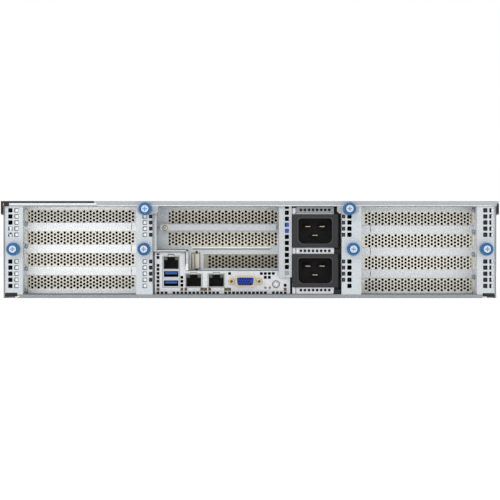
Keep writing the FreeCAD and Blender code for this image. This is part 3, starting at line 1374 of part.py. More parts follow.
def front_handles():
    """Bow handles: a bar bent back to the ear at both ends, with its corners cut."""
    handles = []
    face = f"({FRONT} + ear_gauge)"
    for side in (-1, 1):
        handle = Solid("handle")
        bow = handle_outline(face, "0") + handle_outline(face, "handle_bar")[::-1]
        handle.pad("YZ_Plane", [bow], f"{side} * ({EAR_HALF} - handle_inset) - handle_bar / 2", "handle_bar")
        handles.append(handle.body)
    return sub_part(group("front_handles", handles), "front_handles")


def handle_outline(face, inset):
    """One edge of the bow, from its lower foot to its upper foot."""
    half, reach = f"(handle_span / 2 - {inset})", f"(handle_reach - {inset})"
    bend = f"(handle_bend - 0.414 * {inset})"
    return [(face, f"{MIDDLE} - {half}"), (f"{face} + {reach} - {bend}", f"{MIDDLE} - {half}"),
            (f"{face} + {reach}", f"{MIDDLE} - {half} + {bend}"), (f"{face} + {reach}", f"{MIDDLE} + {half} - {bend}"),
            (f"{face} + {reach} - {bend}", f"{MIDDLE} + {half}"), (face, f"{MIDDLE} + {half}")]


def rail_studs():
    """Headed studs on both walls, which hold the inner members of slide rails."""
    studs = []
    for side in (-1, 1):
        way = "+x" if side > 0 else "-x"
        for index in range(STUDS_PER_SIDE):
            y = f"{index - (STUDS_PER_SIDE - 1) / 2} * stud_pitch"
            shank = prism("stud_shank", 6, (f"{side} * body_width / 2", y, MIDDLE), "stud_radius",
                          "stud_length", way)
            head = prism("stud_head", 8, (f"{side} * (body_width / 2 + stud_length)", y, MIDDLE), "stud_head",
                         "stud_head_gauge", way)
            studs.append(join("stud", [shank, head]))
    return sub_part(group("rail_studs", studs), "rail_studs")


def riser_release_tab():
    """The touch tab behind the centre bracket's vented strip."""
    tab = block("release_tab", ("centre_right + 3.4", f"{REAR} + strip_face + gauge", "60"),
                ("strip_width - 3.4 - gauge", "9", "12"))
    return sub_part(tab, "riser_release_tab")


def build_all():
    fill_sheet()
    chassis_base()
    rear_frame()
    for side in (-1, 1):
        riser_cage(side)
        cage_slot_covers(side)
    centre_bracket()
    slot_clamp_bar()
    centre_slot_covers()
    slot_cover_screws()
    port_panel()
    network_sockets()
    usb_sockets()
    video_socket()
    inlet_bracket()
    power_inlets()
    power_supplies()
    motherboard()
    heatsinks()
    memory_modules()
    riser_cards()
    fan_bulkhead()
    fan_frames()
    for number in range(FANS):
        fan_rotor(number)
    for label, (x, z, seat) in knob_places().items():
        thumbscrew(label, x, z, seat)
    push_button("locator_button", "locator_x", "locator_height", PORT_FACE, "button_radius", 1)
    top_cover()
    cover_edge_strip()
    front_top_panel()
    drive_cage()
    drive_backplane()
    for number in range(TRAYS):
        drive_tray(number)
        tray_lever(number)
    front_grille()
    control_panel()
    push_button("power_button", control_x(), "power_height", FRONT, "power_radius", -1)
    rack_ears()
    front_handles()
    rail_studs()
    riser_release_tab()
    DOC.recompute()


def check_and_write():
    for thing in DOC.Objects:
        if "Invalid" in thing.State or "Error" in thing.State:
            raise SystemExit(f"{thing.Name} failed: {thing.State} {thing.getStatusString()}")
    for thing in NODES:
        shape = thing.Shape
        if shape.isNull() or not shape.isValid() or not shape.Solids:
            raise SystemExit(f"{thing.Label} has no valid solid")
    os.makedirs("parts", exist_ok=True)
    for thing in NODES:
        thing.Shape.exportStep(f"parts/{thing.Label}.step")


build_all()
check_and_write()
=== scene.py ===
import math

import bmesh
import bpy
from mathutils import Matrix, Vector


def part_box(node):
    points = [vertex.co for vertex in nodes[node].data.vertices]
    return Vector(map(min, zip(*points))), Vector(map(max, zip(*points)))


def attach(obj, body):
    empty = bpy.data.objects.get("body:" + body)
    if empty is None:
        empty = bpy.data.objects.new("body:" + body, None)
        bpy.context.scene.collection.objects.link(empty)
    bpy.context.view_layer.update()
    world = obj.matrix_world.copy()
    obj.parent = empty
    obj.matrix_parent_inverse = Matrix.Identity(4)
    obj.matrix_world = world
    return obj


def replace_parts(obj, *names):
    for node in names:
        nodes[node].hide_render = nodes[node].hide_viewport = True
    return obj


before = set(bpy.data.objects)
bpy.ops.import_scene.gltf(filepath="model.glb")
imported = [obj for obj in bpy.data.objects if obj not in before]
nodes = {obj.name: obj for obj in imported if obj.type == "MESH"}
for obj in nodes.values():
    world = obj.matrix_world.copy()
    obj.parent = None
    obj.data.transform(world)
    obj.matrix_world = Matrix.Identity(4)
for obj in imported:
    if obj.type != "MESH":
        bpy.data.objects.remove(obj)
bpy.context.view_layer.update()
MM = 0.001

# Places read from the frame
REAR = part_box("riser_cage_left")[0].y
UNDER, TOP = 0.0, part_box("top_cover")[1].z
MIDDLE = (UNDER + TOP) / 2
SLOT_PITCH = 20.32 * MM
SLOTS = 4


# Materials

def srgb(r, g, b):
    """A display colour from 0 to 255 as linear light."""
    return tuple((c / 255 / 12.92 if c / 255 <= 0.04045 else ((c / 255 + 0.055) / 1.055) ** 2.4)
                 for c in (r, g, b)) + (1.0,)


class Material:
    """A node material: a Principled shader, with object-space texture detail added to it."""

    def __init__(self, name, color, metallic=0.0, roughness=0.5, coat=0.0):
        self.material = bpy.data.materials.new(name)
        self.material.use_nodes = True
        self.tree = self.material.node_tree
        self.shader = self.tree.nodes["Principled BSDF"]
        self.color = srgb(*color)
        for field, value in (("Base Color", self.color), ("Metallic", metallic), ("Roughness", roughness),
                             ("Coat Weight", coat)):
            self.shader.inputs[field].default_value = value
        self.place = self.add("ShaderNodeTexCoord").outputs["Object"]

    def add(self, kind):
        return self.tree.nodes.new(kind)

    def link(self, a, b):
        self.tree.links.new(a, b)

    def noise(self, scale, detail=2.0):
        noise = self.add("ShaderNodeTexNoise")
        noise.inputs["Scale"].default_value = scale
        noise.inputs["Detail"].default_value = detail
        self.link(self.place, noise.inputs["Vector"])
        return noise.outputs["Fac"]

    def shade(self, fac, dark, light, low=0.3, high=0.7):
        """The base colour runs from dark to light shares of itself."""
        ramp = self.add("ShaderNodeValToRGB")
        ramp.color_ramp.elements[0].position = low
        ramp.color_ramp.elements[1].position = high
        for element, share in zip(ramp.color_ramp.elements, (dark, light)):
            element.color = tuple(min(1.0, c * share) for c in self.color[:3]) + (1.0,)
        self.link(fac, ramp.inputs["Fac"])
        self.link(ramp.outputs["Color"], self.shader.inputs["Base Color"])
        return self

    def rough(self, fac, low, high):
        spread = self.add("ShaderNodeMapRange")
        spread.inputs["To Min"].default_value = low
        spread.inputs["To Max"].default_value = high
        self.link(fac, spread.inputs["Value"])
        self.link(spread.outputs["Result"], self.shader.inputs["Roughness"])
        return self

    def bump(self, fac, strength, distance):
        bump = self.add("ShaderNodeBump")
        bump.inputs["Strength"].default_value = strength
        bump.inputs["Distance"].default_value = distance
        self.link(fac, bump.inputs["Height"])
        self.link(bump.outputs["Normal"], self.shader.inputs["Normal"])
        return self


def zinc(name, color, metallic=0.25, roughness=0.42):
    """Zinc-coated sheet: fine crystals, faint clouds and a little unevenness."""
    made = Material(name, color, metallic, roughness)
    grain = made.noise(900.0, 3.0)
    made.shade(grain, 0.86, 1.08)
    made.rough(made.noise(60.0, 2.0), roughness - 0.08, roughness + 0.12)
    made.bump(made.noise(500.0, 2.0), 0.08, 0.0001)
    return made.material


def moulded(name, color, roughness=0.45, grain=1800.0):
    """Moulded plastic with a fine spark-eroded grain."""
    made = Material(name, color, 0.0, roughness)
    made.shade(made.noise(40.0, 3.0), 0.88, 1.1)
    made.rough(made.noise(90.0), roughness - 0.06, roughness + 0.1)
    made.bump(made.noise(grain, 1.0), 0.12, 0.0001)
    return made.material


def polished(name, color, roughness=0.22):
    """Plated or turned metal with fine marks round its surface."""
    made = Material(name, color, 0.9, roughness)
    made.shade(made.noise(300.0, 2.0), 0.88, 1.05)
    made.rough(made.noise(700.0, 2.0), roughness - 0.06, roughness + 0.12)
    return made.material


def painted(name, color, roughness=0.5):
    """Powder-coated metal with an orange-peel surface."""
    made = Material(name, color, 0.0, roughness, coat=0.1)
    made.shade(made.noise(25.0, 2.0), 0.9, 1.1)
    made.bump(made.noise(1400.0, 2.0), 0.25, 0.0001)
    return made.material


def laminate(name, color):
    """Coated circuit board: tracks under the coat, as faint lighter cells."""
    made = Material(name, color, 0.0, 0.35, coat=0.4)
    made.shade(made.noise(220.0, 4.0), 0.6, 1.6, 0.45, 0.6)
    made.bump(made.noise(400.0, 2.0), 0.2, 0.0001)
    return made.material


ZINC = zinc("zinc_sheet", (222, 225, 229))
# A lit copy of the zinc sheet: painted light on the left slot wall, the rear frame, the pieces behind the vents and the
# hem's white line.
ZINC_LIT = zinc("zinc_sheet_lit", (242, 244, 246))
# A shaded copy of the zinc sheet for the posts: painted shade.
POST = zinc("zinc_sheet_posts_shaded", (201, 207, 211))
STRIP = zinc("zinc_sheet_strip", (190, 194, 198))
TRAY_SHEET = zinc("zinc_sheet_tray", (148, 151, 153))
# A dark copy of the zinc sheet: painted shade on the inlet plate's top under the cover's hem; the tab screws take it
# too.
ZINC_DEEP = zinc("zinc_sheet_deep", (150, 153, 156))
# A less lit copy of the zinc sheet for the right slot wall: painted light.
ZINC_BRIGHT = zinc("zinc_sheet_less_lit", (216, 219, 222))
ZINC_SHADE = zinc("zinc_sheet_shaded", (198, 203, 206))
PANEL = zinc("port_panel_sheet", (214, 217, 220))
GASKET = zinc("gasket_strip", (112, 92, 62), 0.5, 0.4)
COVER_SHEET = zinc("cover_sheet", (170, 174, 178), 0.3, 0.4)
CREAM = zinc("nickel_sheet", (232, 229, 218), 0.12, 0.45)
CREAM_CENTRE = zinc("nickel_sheet_centre", (220, 214, 200), 0.12, 0.45)
CREAM_SHADE = zinc("nickel_sheet_shaded", (160, 154, 140), 0.15, 0.5)
CREAM_GOLD = zinc("nickel_shell", (212, 200, 168), 0.45, 0.3)
BLACK = moulded("black_plastic", (20, 19, 22), 0.6)
BLACK_RIM = moulded("black_plastic_rim", (44, 44, 47), 0.4)
# A dark grey that stands for painted shadow in gaps, seams and rims.
SEAM_SHADOW = moulded("seam_shadow", (60, 61, 62), 0.7)
BLACK_WELL = moulded("black_plastic_well", (15, 15, 17), 0.75)
# Black plastic, and also the colour of the dark blocks and sheets that stand for painted shade in gaps, holes and
# recesses.
BLACK_PLASTIC_AND_SHADE = moulded("black_plastic_and_painted_shade", (12, 12, 13), 0.7)
BLUE = moulded("blue_grip", (0, 98, 158), 0.35, 900.0)
WHITE_STEEL = zinc("turned_steel", (206, 212, 220), 0.2, 0.35)
RECESS_BLUE = moulded("recess_blue", (88, 148, 206), 0.4)
LENS_RING = moulded("lens_ring", (176, 178, 182), 0.25)
PIN = zinc("inlet_pin", (176, 164, 134), 0.3, 0.4)
BLUE_INSERT = moulded("blue_insert", (0, 54, 166), 0.5)
BLUE_TONGUE = moulded("blue_tongue", (0, 82, 168), 0.35)
STEEL = polished("plated_steel", (226, 228, 230))
BRASS = polished("warm_plated_steel", (190, 176, 146), 0.3)
SHELL = zinc("socket_shell", (190, 192, 192), 0.4, 0.3)
GOLD = polished("contact_gold", (92, 74, 42), 0.4)
BOARD = laminate("circuit_board", (20, 68, 44))
FINS = zinc("aluminium_fins", (205, 206, 208), 0.6, 0.3)
EAR = painted("ear_paint", (34, 35, 38))
GRILLE = painted("grille_paint", (30, 31, 33))
TRAY = moulded("tray_plastic", (46, 47, 50))
LEVER = moulded("lever_plastic", (104, 108, 114))
GRIP = moulded("lever_ribs", (58, 61, 66), 0.5)
LENS_GREEN = moulded("lens_green", (82, 84, 60), 0.35)
LENS_AMBER = moulded("lens_amber", (150, 128, 92), 0.25)
LENS_WHITE = moulded("lens_white", (226, 230, 236), 0.2)


# Shapes

def keep(mesh, name, material, body="chassis"):
    """Adds a mesh as a piece that rides on a body."""
    piece = bpy.data.objects.new(name, mesh)
    bpy.context.scene.collection.objects.link(piece)
    mesh.materials.clear()
    mesh.materials.append(material)
    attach(piece, body)
    return piece


def circle(x, z, radius, sides=12, turn=0.0):
    angles = (turn + 2 * math.pi * i / sides for i in range(sides))
    return [(x + radius * math.cos(a), z + radius * math.sin(a)) for a in angles]


def rounded(x0, z0, x1, z1, radius, steps=3):
    """A rectangle's outline with round corners: one radius, or four from the upper right round to the left."""
    if isinstance(radius, (int, float)):
        radius = (radius,) * 4
    corners = [(x1, z1, 0), (x0, z1, 1), (x0, z0, 2), (x1, z0, 3)]
    points = []
    for (x, z, quarter), r in zip(corners, radius):
        cx = x - r if quarter in (0, 3) else x + r
        cz = z - r if quarter in (0, 1) else z + r
        for i in range(steps + 1):
            a = math.pi / 2 * (quarter + i / steps)
            points.append((cx + r * math.cos(a), cz + r * math.sin(a)))
    return points


TO_REAR = Matrix.Rotation(math.radians(90), 4, "X")


def sheet(loops, face, gauge, edge=0.12 * MM):
    """A flat sheet in the XZ plane: its outlines and holes as loops, its rear at face, its edges slightly round."""
    curve = bpy.data.curves.new("sheet", "CURVE")
    curve.dimensions, curve.fill_mode = "2D", "BOTH"
    edge = min(edge, gauge * 0.3)
    curve.extrude, curve.bevel_depth, curve.offset = gauge / 2 - edge, edge, -edge
    curve.bevel_resolution = 1
    for loop in loops:
        spline = curve.splines.new("POLY")
        spline.points.add(len(loop) - 1)
        for point, (x, z) in zip(spline.points, loop):
            point.co = (x, z, 0, 1)
        spline.use_cyclic_u = True
    carrier = bpy.data.objects.new("sheet", curve)
    bpy.context.scene.collection.objects.link(carrier)
    bpy.context.view_layer.update()
    mesh = bpy.data.meshes.new_from_object(carrier.evaluated_get(bpy.context.evaluated_depsgraph_get()))
    bpy.data.objects.remove(carrier)
    mesh.transform(Matrix.Translation((0, face + gauge / 2, 0)) @ TO_REAR)
    return mesh


def brick(low, high, edge=0.15 * MM):
    """A block between two corners, with rounded edges."""
    shape = bmesh.new()
    bmesh.ops.create_cube(shape, size=1.0)
    size = [b - a for a, b in zip(low, high)]
    middle = [(a + b) / 2 for a, b in zip(low, high)]
    bmesh.ops.transform(shape, matrix=Matrix.Translation(middle) @ Matrix.Diagonal((*size, 1)), verts=shape.verts)
    if edge:
        bmesh.ops.bevel(shape, geom=shape.edges[:], offset=min(edge, min(size) * 0.4), segments=2,
                        profile=0.5, affect="EDGES")
    return finish_shape(shape)


def finish_shape(shape):
    bmesh.ops.recalc_face_normals(shape, faces=shape.faces)
    mesh = bpy.data.meshes.new("shape")
    shape.to_mesh(mesh)
    shape.free()
    return mesh


def lathe(profile, sides=48, ripple=0.0, ripples=0):
    """A turned shape about Y: profile is (y, radius) pairs, each with an optional share of the ripple."""
    shape = bmesh.new()
    rings = []
    for point in profile:
        y, radius = point[0], point[1]
        share = point[2] if len(point) > 2 else 0.0
        ring = []
        for i in range(sides):
            a = 2 * math.pi * i / sides
            r = radius * (1 + share * ripple * math.cos(ripples * a))
            ring.append(shape.verts.new((r * math.cos(a), y, r * math.sin(a))))
        rings.append(ring)
    for a, b in zip(rings, rings[1:]):
        for i in range(sides):
            j = (i + 1) % sides
            shape.faces.new((a[i], a[j], b[j], b[i]))
    for ring in (rings[0], rings[-1]):
        shape.faces.new(ring)
    return finish_shape(shape)


def merged(meshes, places=None):
    """Several meshes as one, each moved by its place."""
    shape = bmesh.new()
    for i, mesh in enumerate(meshes):
        if places:
            mesh.transform(places[i])
        shape.from_mesh(mesh)
        bpy.data.meshes.remove(mesh)
    mesh = bpy.data.meshes.new("merged")
    shape.to_mesh(mesh)
    shape.free()
    return mesh


def smooth(piece, angle=35):
    """Smooth shading on all but sharp edges."""
    piece.data.polygons.foreach_set("use_smooth", [True] * len(piece.data.polygons))
    bpy.context.view_layer.objects.active = piece
    for other in bpy.context.selected_objects:
        other.select_set(False)
    piece.select_set(True)
    bpy.ops.object.shade_smooth_by_angle(angle=math.radians(angle))
    return piece


def soften(node):
    """Rounds a CAD node's edges with a modifier."""
    bevel = node.modifiers.new("edges", "BEVEL")
    bevel.width, bevel.segments, bevel.limit_method = 0.25 * MM, 2, "ANGLE"
    bevel.angle_limit = math.radians(40)
    bevel.harden_normals = False


def panel(loops, at, gauge, edge=0.12 * MM):
    """A flat sheet in the YZ plane: its loops are (y, z) pairs, its left face at that X."""
    mesh = sheet(loops, 0, gauge, edge)
    mesh.transform(Matrix.Translation((at + gauge, 0, 0)) @ Matrix.Rotation(math.radians(90), 4, "Z"))
    return mesh


def soft_brick(x0, y0, z0, x1, y1, z1, edge=0.15):
    """A block given in millimetres."""
    return brick((x0 * MM, y0 * MM, z0 * MM), (x1 * MM, y1 * MM, z1 * MM), edge * MM)


def soft_outline(x0, z0, x1, z1, radius, steps=2):
    """A rounded outline given in millimetres."""
    return rounded(x0 * MM, z0 * MM, x1 * MM, z1 * MM, radius * MM, steps)


def in_metres(points):
    return [(a * MM, b * MM) for a, b in points]


def facing(along):
    """The turn that brings +Y to a direction."""
    return Vector((0, 1, 0)).rotation_difference(Vector(along)).to_matrix().to_4x4()


def pan_head(place, along, radius=2.2 * MM, rise=1.7 * MM):
    """A screw's domed head with its cross recess as two dark marks on the dome: painted shade. Its seat lies at place,
    and it stands out along -along.
    """
    dome = lathe([(0, radius), (-rise * 0.55, radius * 0.97), (-rise * 0.85, radius * 0.8), (-rise, radius * 0.5)], 24)
    marks = [brick((-radius * a, -rise * 1.04, -radius * b), (radius * a, -rise * 0.9, radius * b), 0)
             for a, b in ((0.42, 0.1), (0.1, 0.42))]
    at = Matrix.Translation(place) @ facing(along)
    return merged([dome], [at]), merged(marks, [at, at])


# Riser cages

GAUGE = 1.2 * MM
VENT = 3.7 * MM
VENT_STEP = 5.5 * MM
SLOT_HEIGHT = 12.6 * MM
BLANK_HEIGHT = 18.4 * MM
BLANK_GAUGE = 0.9 * MM
BLANK_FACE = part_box("slot_covers_left")[1].y - BLANK_GAUGE
SLOT_FACE = BLANK_FACE - GAUGE
TAB_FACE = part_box("slot_covers_left")[0].y
CAGE = {"left": dict(side=-1, window=102.0, inner_post=15.0, inner_vent=7.8, outer_vent=4.7, seam=-108.6),
        "right": dict(side=1, window=104.0, inner_post=18.0, inner_vent=10.8, outer_vent=2.9, seam=110.6)}
OUTER_POST = 16.0
CAGE_HALF = -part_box("riser_cage_left")[0].x
LOWER_VENTS, UPPER_VENTS = 11.1 * MM, 57.2 * MM
CAGE_LOW, CAGE_HIGH = (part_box("riser_cage_left")[i].z for i in (0, 1))
SLOT_RISE = {"left": 0.7 * MM, "centre": -0.5 * MM, "right": -1.9 * MM}


def cage_x(side, inward):
    """X of a place that lies inward (in mm) of a cage's outer edge."""
    return side * (CAGE_HALF - inward * MM)


def slot_mid(index, row):
    return MIDDLE + SLOT_RISE[row] + ((SLOTS - 1) / 2 - index) * SLOT_PITCH


def span(a, b):
    return min(a, b), max(a, b)


def vent_square(side, inset, z):
    x = cage_x(side, inset)
    half = VENT / 2 + 0.1 * MM
    return rounded(x - half, z - half, x + half, z + half, 0.5 * MM, 2)


def screw_places(name):
    return [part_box(n) for n in nodes if "thumbscrew" in n and f"_{name}" in n]


def vent_backs(name, side, rows, first, far, outer_vent):
    """Painted shade behind the vents of a cage's posts: dark sheets, and on the left dark rims round the vents with
    bright webs behind them.
    """
    step = VENT_STEP / MM
    heights = rows[0] + rows[1]
    x0, x1 = span(cage_x(side, far - 0.2), cage_x(side, first + step - 2.6))
    keep(brick((x0, REAR + 1.25 * MM, rows[0][0] - 3 * MM), (x1, REAR + 1.8 * MM, rows[1][-1] + 3 * MM)),
         f"vent_shade_inner_{name}", BLACK_PLASTIC_AND_SHADE if side < 0 else SEAM_SHADOW)
    if side > 0:
        shade = [(cage_x(side, outer_vent + step), 2.4 * MM), (cage_x(side, outer_vent) - 1.3 * MM, 1.1 * MM)]
        keep(merged([brick((x - wide, REAR + 1.3 * MM, min(heights) - 2.4 * MM),
                           (x + wide, REAR + 1.8 * MM, max(heights) + 2.4 * MM)) for x, wide in shade]),
             f"vent_shade_{name}", BLACK_PLASTIC_AND_SHADE)
        return
    gaps, webs = [], []
    for inset, levels in ((outer_vent + step, heights), (first, rows[0] + rows[1][:4])):
        x, wide = cage_x(side, inset), VENT / 2 + 0.6 * MM
        foot, head = min(levels) - wide, max(levels) + wide
        outline = rounded(x - wide, foot, x + wide, head, 0.3 * MM, 2)
        holes = [rounded(x - 1.3 * MM, z - 1.35 * MM, x + 1.5 * MM, z + 1.35 * MM, 0.3 * MM, 2) for z in levels]
        gaps.append(sheet([outline] + holes, REAR + 1.3 * MM, 0.3 * MM, 0.05 * MM))
        webs.append(brick((x - wide, REAR + 1.65 * MM, foot), (x + wide, REAR + 2.4 * MM, head)))
    keep(merged(gaps), f"vent_gap_shade_{name}", SEAM_SHADOW)
    keep(merged(webs), f"vent_webs_{name}", ZINC_LIT)


def riser_cage(name, side, window, inner_post, inner_vent, outer_vent, seam):
    """The folded cage: posts with square vents, recess walls, slot wall and the long wall."""
    far = OUTER_POST + window + inner_post
    step = VENT_STEP / MM
    rows = [LOWER_VENTS + i * VENT_STEP for i in range(5)], [UPPER_VENTS + i * VENT_STEP for i in range(5)]
    outer = [vent_square(side, outer_vent + k * step, z) for k in (0, 1) for z in rows[0] + rows[1]]
    first = OUTER_POST + window + inner_vent
    inner = [vent_square(side, first, z) for z in rows[0] + rows[1][:4]]
    inner += [vent_square(side, first + step, z) for z in rows[0][1:] + rows[1][:4]]
    holes = [circle((low.x + high.x) / 2, (low.z + high.z) / 2, 2.3 * MM, 16) for low, high in screw_places(name)]
    posts, parts = [], []
    for a, b, vents in ((0, OUTER_POST, outer), (OUTER_POST + window, far, inner)):
        x0, x1 = span(cage_x(side, a), cage_x(side, b))
        mine = [h for h in holes if x0 < sum(p[0] for p in h) / len(h) < x1]
        posts.append(sheet([rounded(x0, CAGE_LOW, x1, CAGE_HIGH, 0.5 * MM, 2)] + vents + mine, REAR, GAUGE, 0.15 * MM))
    for inward in (OUTER_POST - GAUGE / MM, OUTER_POST + window):
        x0, x1 = span(cage_x(side, inward), cage_x(side, inward + GAUGE / MM))
        loops = [rounded(REAR + 0.3 * MM, CAGE_LOW, BLANK_FACE - 0.1 * MM, CAGE_HIGH, 0.2 * MM, 1)]
        if inward < OUTER_POST:
            grip = 37.5 if side < 0 else 38.0
            loops.append(rounded(REAR + 1.6 * MM, grip * MM, REAR + 7 * MM, (grip + 13.5) * MM, 0.8 * MM, 2))
        parts.append(panel(loops, x0, x1 - x0))
    slots = []
    for index in range(SLOTS):
        a, b = span(cage_x(side, OUTER_POST), cage_x(side, OUTER_POST + window - 2))
        mid = slot_mid(index, name)
        slots.append(rounded(a, mid - SLOT_HEIGHT / 2, b, mid + SLOT_HEIGHT / 2, 0.5 * MM, 2))
        if index:
            low, high = mid + SLOT_HEIGHT / 2 + 0.7 * MM, slot_mid(index - 1, name) - SLOT_HEIGHT / 2 - 0.5 * MM
            slots.append(rounded(seam * MM - 0.22 * MM, low, seam * MM + 0.22 * MM, high, 0.1 * MM, 1))
    x0, x1 = span(cage_x(side, OUTER_POST - 1), cage_x(side, OUTER_POST + window + 1))
    wall = sheet([rounded(x0, CAGE_LOW, x1, CAGE_HIGH, 0.3 * MM, 1)] + slots, SLOT_FACE, GAUGE, 0.2 * MM)
    # The left slot wall takes the lit copy of the zinc and the right one the less lit copy: painted light.
    keep(wall, f"slot_wall_{name}", ZINC_LIT if side < 0 else ZINC_BRIGHT)
    x0, x1 = span(cage_x(side, far - GAUGE / MM), cage_x(side, far))
    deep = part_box(f"riser_cage_{name}")[1].y
    parts.append(panel([rounded(REAR + 1.9 * MM, CAGE_LOW, deep, CAGE_HIGH, 0.5 * MM, 2)], x0, x1 - x0))
    x0, x1 = span(cage_x(side, 0.3), cage_x(side, far))
    parts.append(brick((x0, deep - 24 * MM, CAGE_HIGH - GAUGE), (x1, deep, CAGE_HIGH)))
    vent_backs(name, side, rows, first, far, outer_vent)
    # The posts take the shaded copy of the zinc: painted shade.
    piece = keep(merged(posts), f"riser_cage_{name}_posts", POST)
    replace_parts(smooth(piece), f"riser_cage_{name}")
    smooth(keep(merged(parts), f"riser_cage_{name}_walls", ZINC))
    x = cage_x(side, outer_vent + (0 if side < 0 else step)) / MM
    keep(merged([soft_brick(x - 1.1, REAR / MM + 1.5, 53.4, x + 1.1, REAR / MM + 2.6, 64.6),
                 soft_brick(x - 1.9, REAR / MM + 1.5, 57.6, x + 1.9, REAR / MM + 2.6, 59.6)]),
         f"thread_plate_{name}", ZINC_LIT)


def card_guide_shade(name, x0, x1, y, z0, z1):
    """A ribbed black retainer that closes the forward end of a riser's slots, its black standing for painted shade so
    the inside seen through the covers' holes is dark.
    """
    x0, x1, y, z0, z1 = (value / MM for value in (x0, x1, y, z0, z1))
    parts = [soft_brick(x0, y, z0, x1, y + 2.0, z1, 0.3)]
    ribs = int((x1 - x0 - 6) / 9)
    parts += [soft_brick(x0 + 3 + 9 * i, y - 2.2, z0 + 1, x0 + 4.4 + 9 * i, y, z1 - 1, 0.3) for i in range(ribs)]
    keep(merged(parts), f"card_guide_shade_{name}", BLACK_PLASTIC_AND_SHADE)


for name, sizes in CAGE.items():
    riser_cage(name, **sizes)
    low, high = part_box(f"riser_cage_{name}")
    card_guide_shade(name, low.x + 1.8 * MM, high.x - 1.8 * MM, high.y - 27 * MM, 13 * MM, 84 * MM)
card_guide_shade("centre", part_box("riser_cage_left")[1].x + 2 * MM, 26 * MM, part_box("riser_cards")[1].y + 3 * MM, 13 * MM,
           84 * MM)


# Slot covers

ROW_STEP = 3.18 * MM
HOLE = 1.2 * MM
CLAMP_SCREW_X = -77.5
# First column, step, columns and each row's rise, in millimetres
HOLES = {"left": (-203.1, 2.988, 33, (-0.8, 0.0, 0.8, -0.1)), "right": (106.8, 3.022, 33, (0.0, 0.0, 0.0, 0.0)),
         "centre": (-73.8, 3.05, 33, (0.1, 0.2, -0.5))}


def perforation(first, step, z, columns, short_first=True):
    """Staggered round holes: columns of three and four by turns."""
    loops = []
    for column in range(columns):
        rows = 3 if (column % 2 == 0) == short_first else 4
        for row in range(rows):
            loops.append(circle((first + column * step) * MM, z + (row - (rows - 1) / 2) * ROW_STEP, HOLE, 12))
    return loops


def slot_cover(x0, x1, z, rise, first, step, columns, short_first=True):
    outline = rounded(x0, z - BLANK_HEIGHT / 2, x1, z + BLANK_HEIGHT / 2, 0.6 * MM, 2)
    holes = perforation(first, step, z + rise * MM, columns, short_first)
    return sheet([outline] + holes, BLANK_FACE, BLANK_GAUGE, 0.07 * MM)


def cage_covers(name, side, window, **_):
    """Four perforated covers, each with a tab along the recess's outer wall."""
    parts = []
    first, step, columns, rises = HOLES[name]
    for index in range(SLOTS):
        x0, x1 = span(cage_x(side, OUTER_POST + 0.2), cage_x(side, OUTER_POST + window + 2.5))
        z = slot_mid(index, name)
        parts.append(slot_cover(x0, x1, z, rises[index], first, step, columns))
        tab = span(cage_x(side, OUTER_POST + 0.2), cage_x(side, OUTER_POST + 0.2 + BLANK_GAUGE / MM))
        low, high = z - SLOT_HEIGHT / 2 + 0.2 * MM, z + SLOT_HEIGHT / 2 - 0.2 * MM
        small, large = 0.1 * MM, 1.2 * MM
        outline = rounded(TAB_FACE, low, BLANK_FACE + small, high, (small, large, large, small))
        parts.append(panel([outline], tab[0], tab[1] - tab[0]))
    piece = keep(merged(parts), f"slot_covers_{name}_sheet", CREAM)
    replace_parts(piece, f"slot_covers_{name}")


for name, sizes in CAGE.items():
    cage_covers(name, **sizes)


def tab_screws():
    """A pan-head screw beside each slot, in the recess's outer wall, and one in the centre's clamp bar."""
    heads, marks = [], []
    for name, side in (("left", -1), ("right", 1)):
        for index in range(SLOTS):
            z = slot_mid(index, name) + side * (SLOT_HEIGHT / 2 + 1.6 * MM)
            place = (cage_x(side, OUTER_POST + 1.1), SLOT_FACE - 12 * MM, z)
            head, mark = pan_head(place, (side, 0, 0))
            heads.append(head)
            marks.append(mark)
            shank = lathe([(-0.5 * MM, 1.4 * MM), (4.2 * MM, 1.4 * MM), (4.8 * MM, 0.9 * MM)], 16)
            shank.transform(Matrix.Translation(place) @ facing((side, 0, 0)))
            heads.append(shank)
    x, z = CLAMP_SCREW_X * MM, (slot_mid(0, "centre") + slot_mid(1, "centre")) / 2
    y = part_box("slot_cover_screws")[0].y + 1.8 * MM
    head, mark = pan_head((x, y, z), (0, 1, 0), 2.5 * MM, 1.7 * MM)
    marks.append(mark)
    piece = keep(merged(heads), "tab_screws", ZINC_DEEP)
    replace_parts(smooth(piece, 40), "slot_cover_screws")
    shank = lathe([(y, 1.4 * MM), (y + 8 * MM, 1.4 * MM)], 16)
    shank.transform(Matrix.Translation((x, 0, z)))
    smooth(keep(merged([head, shank]), "clamp_screw", BRASS), 40)
    # The cross marks in black: painted shade in the screws' recesses.
    keep(merged(marks), "screw_recess_shade", BLACK_PLASTIC_AND_SHADE)


tab_screws()


# Centre riser

STRIP_PITCH = 5.44


def centre_covers():
    """Two covers of the full width and a short one, which stands apart from them."""
    low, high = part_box("slot_covers_centre")
    parts = []
    first, step, columns, rises = HOLES["centre"]
    for index in (0, 1):
        parts.append(slot_cover(low.x, high.x, slot_mid(index, "centre"), rises[index], first, step, columns,
                                index == 0))
    piece = keep(merged(parts), "slot_covers_centre_sheet", CREAM_CENTRE)
    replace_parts(piece, "slot_covers_centre")
    third = slot_cover(-56.3 * MM, high.x, slot_mid(2, "centre"), rises[2], -36.9, 3.037, 21, False)
    keep(third, "slot_cover_low_sheet", CREAM_SHADE)


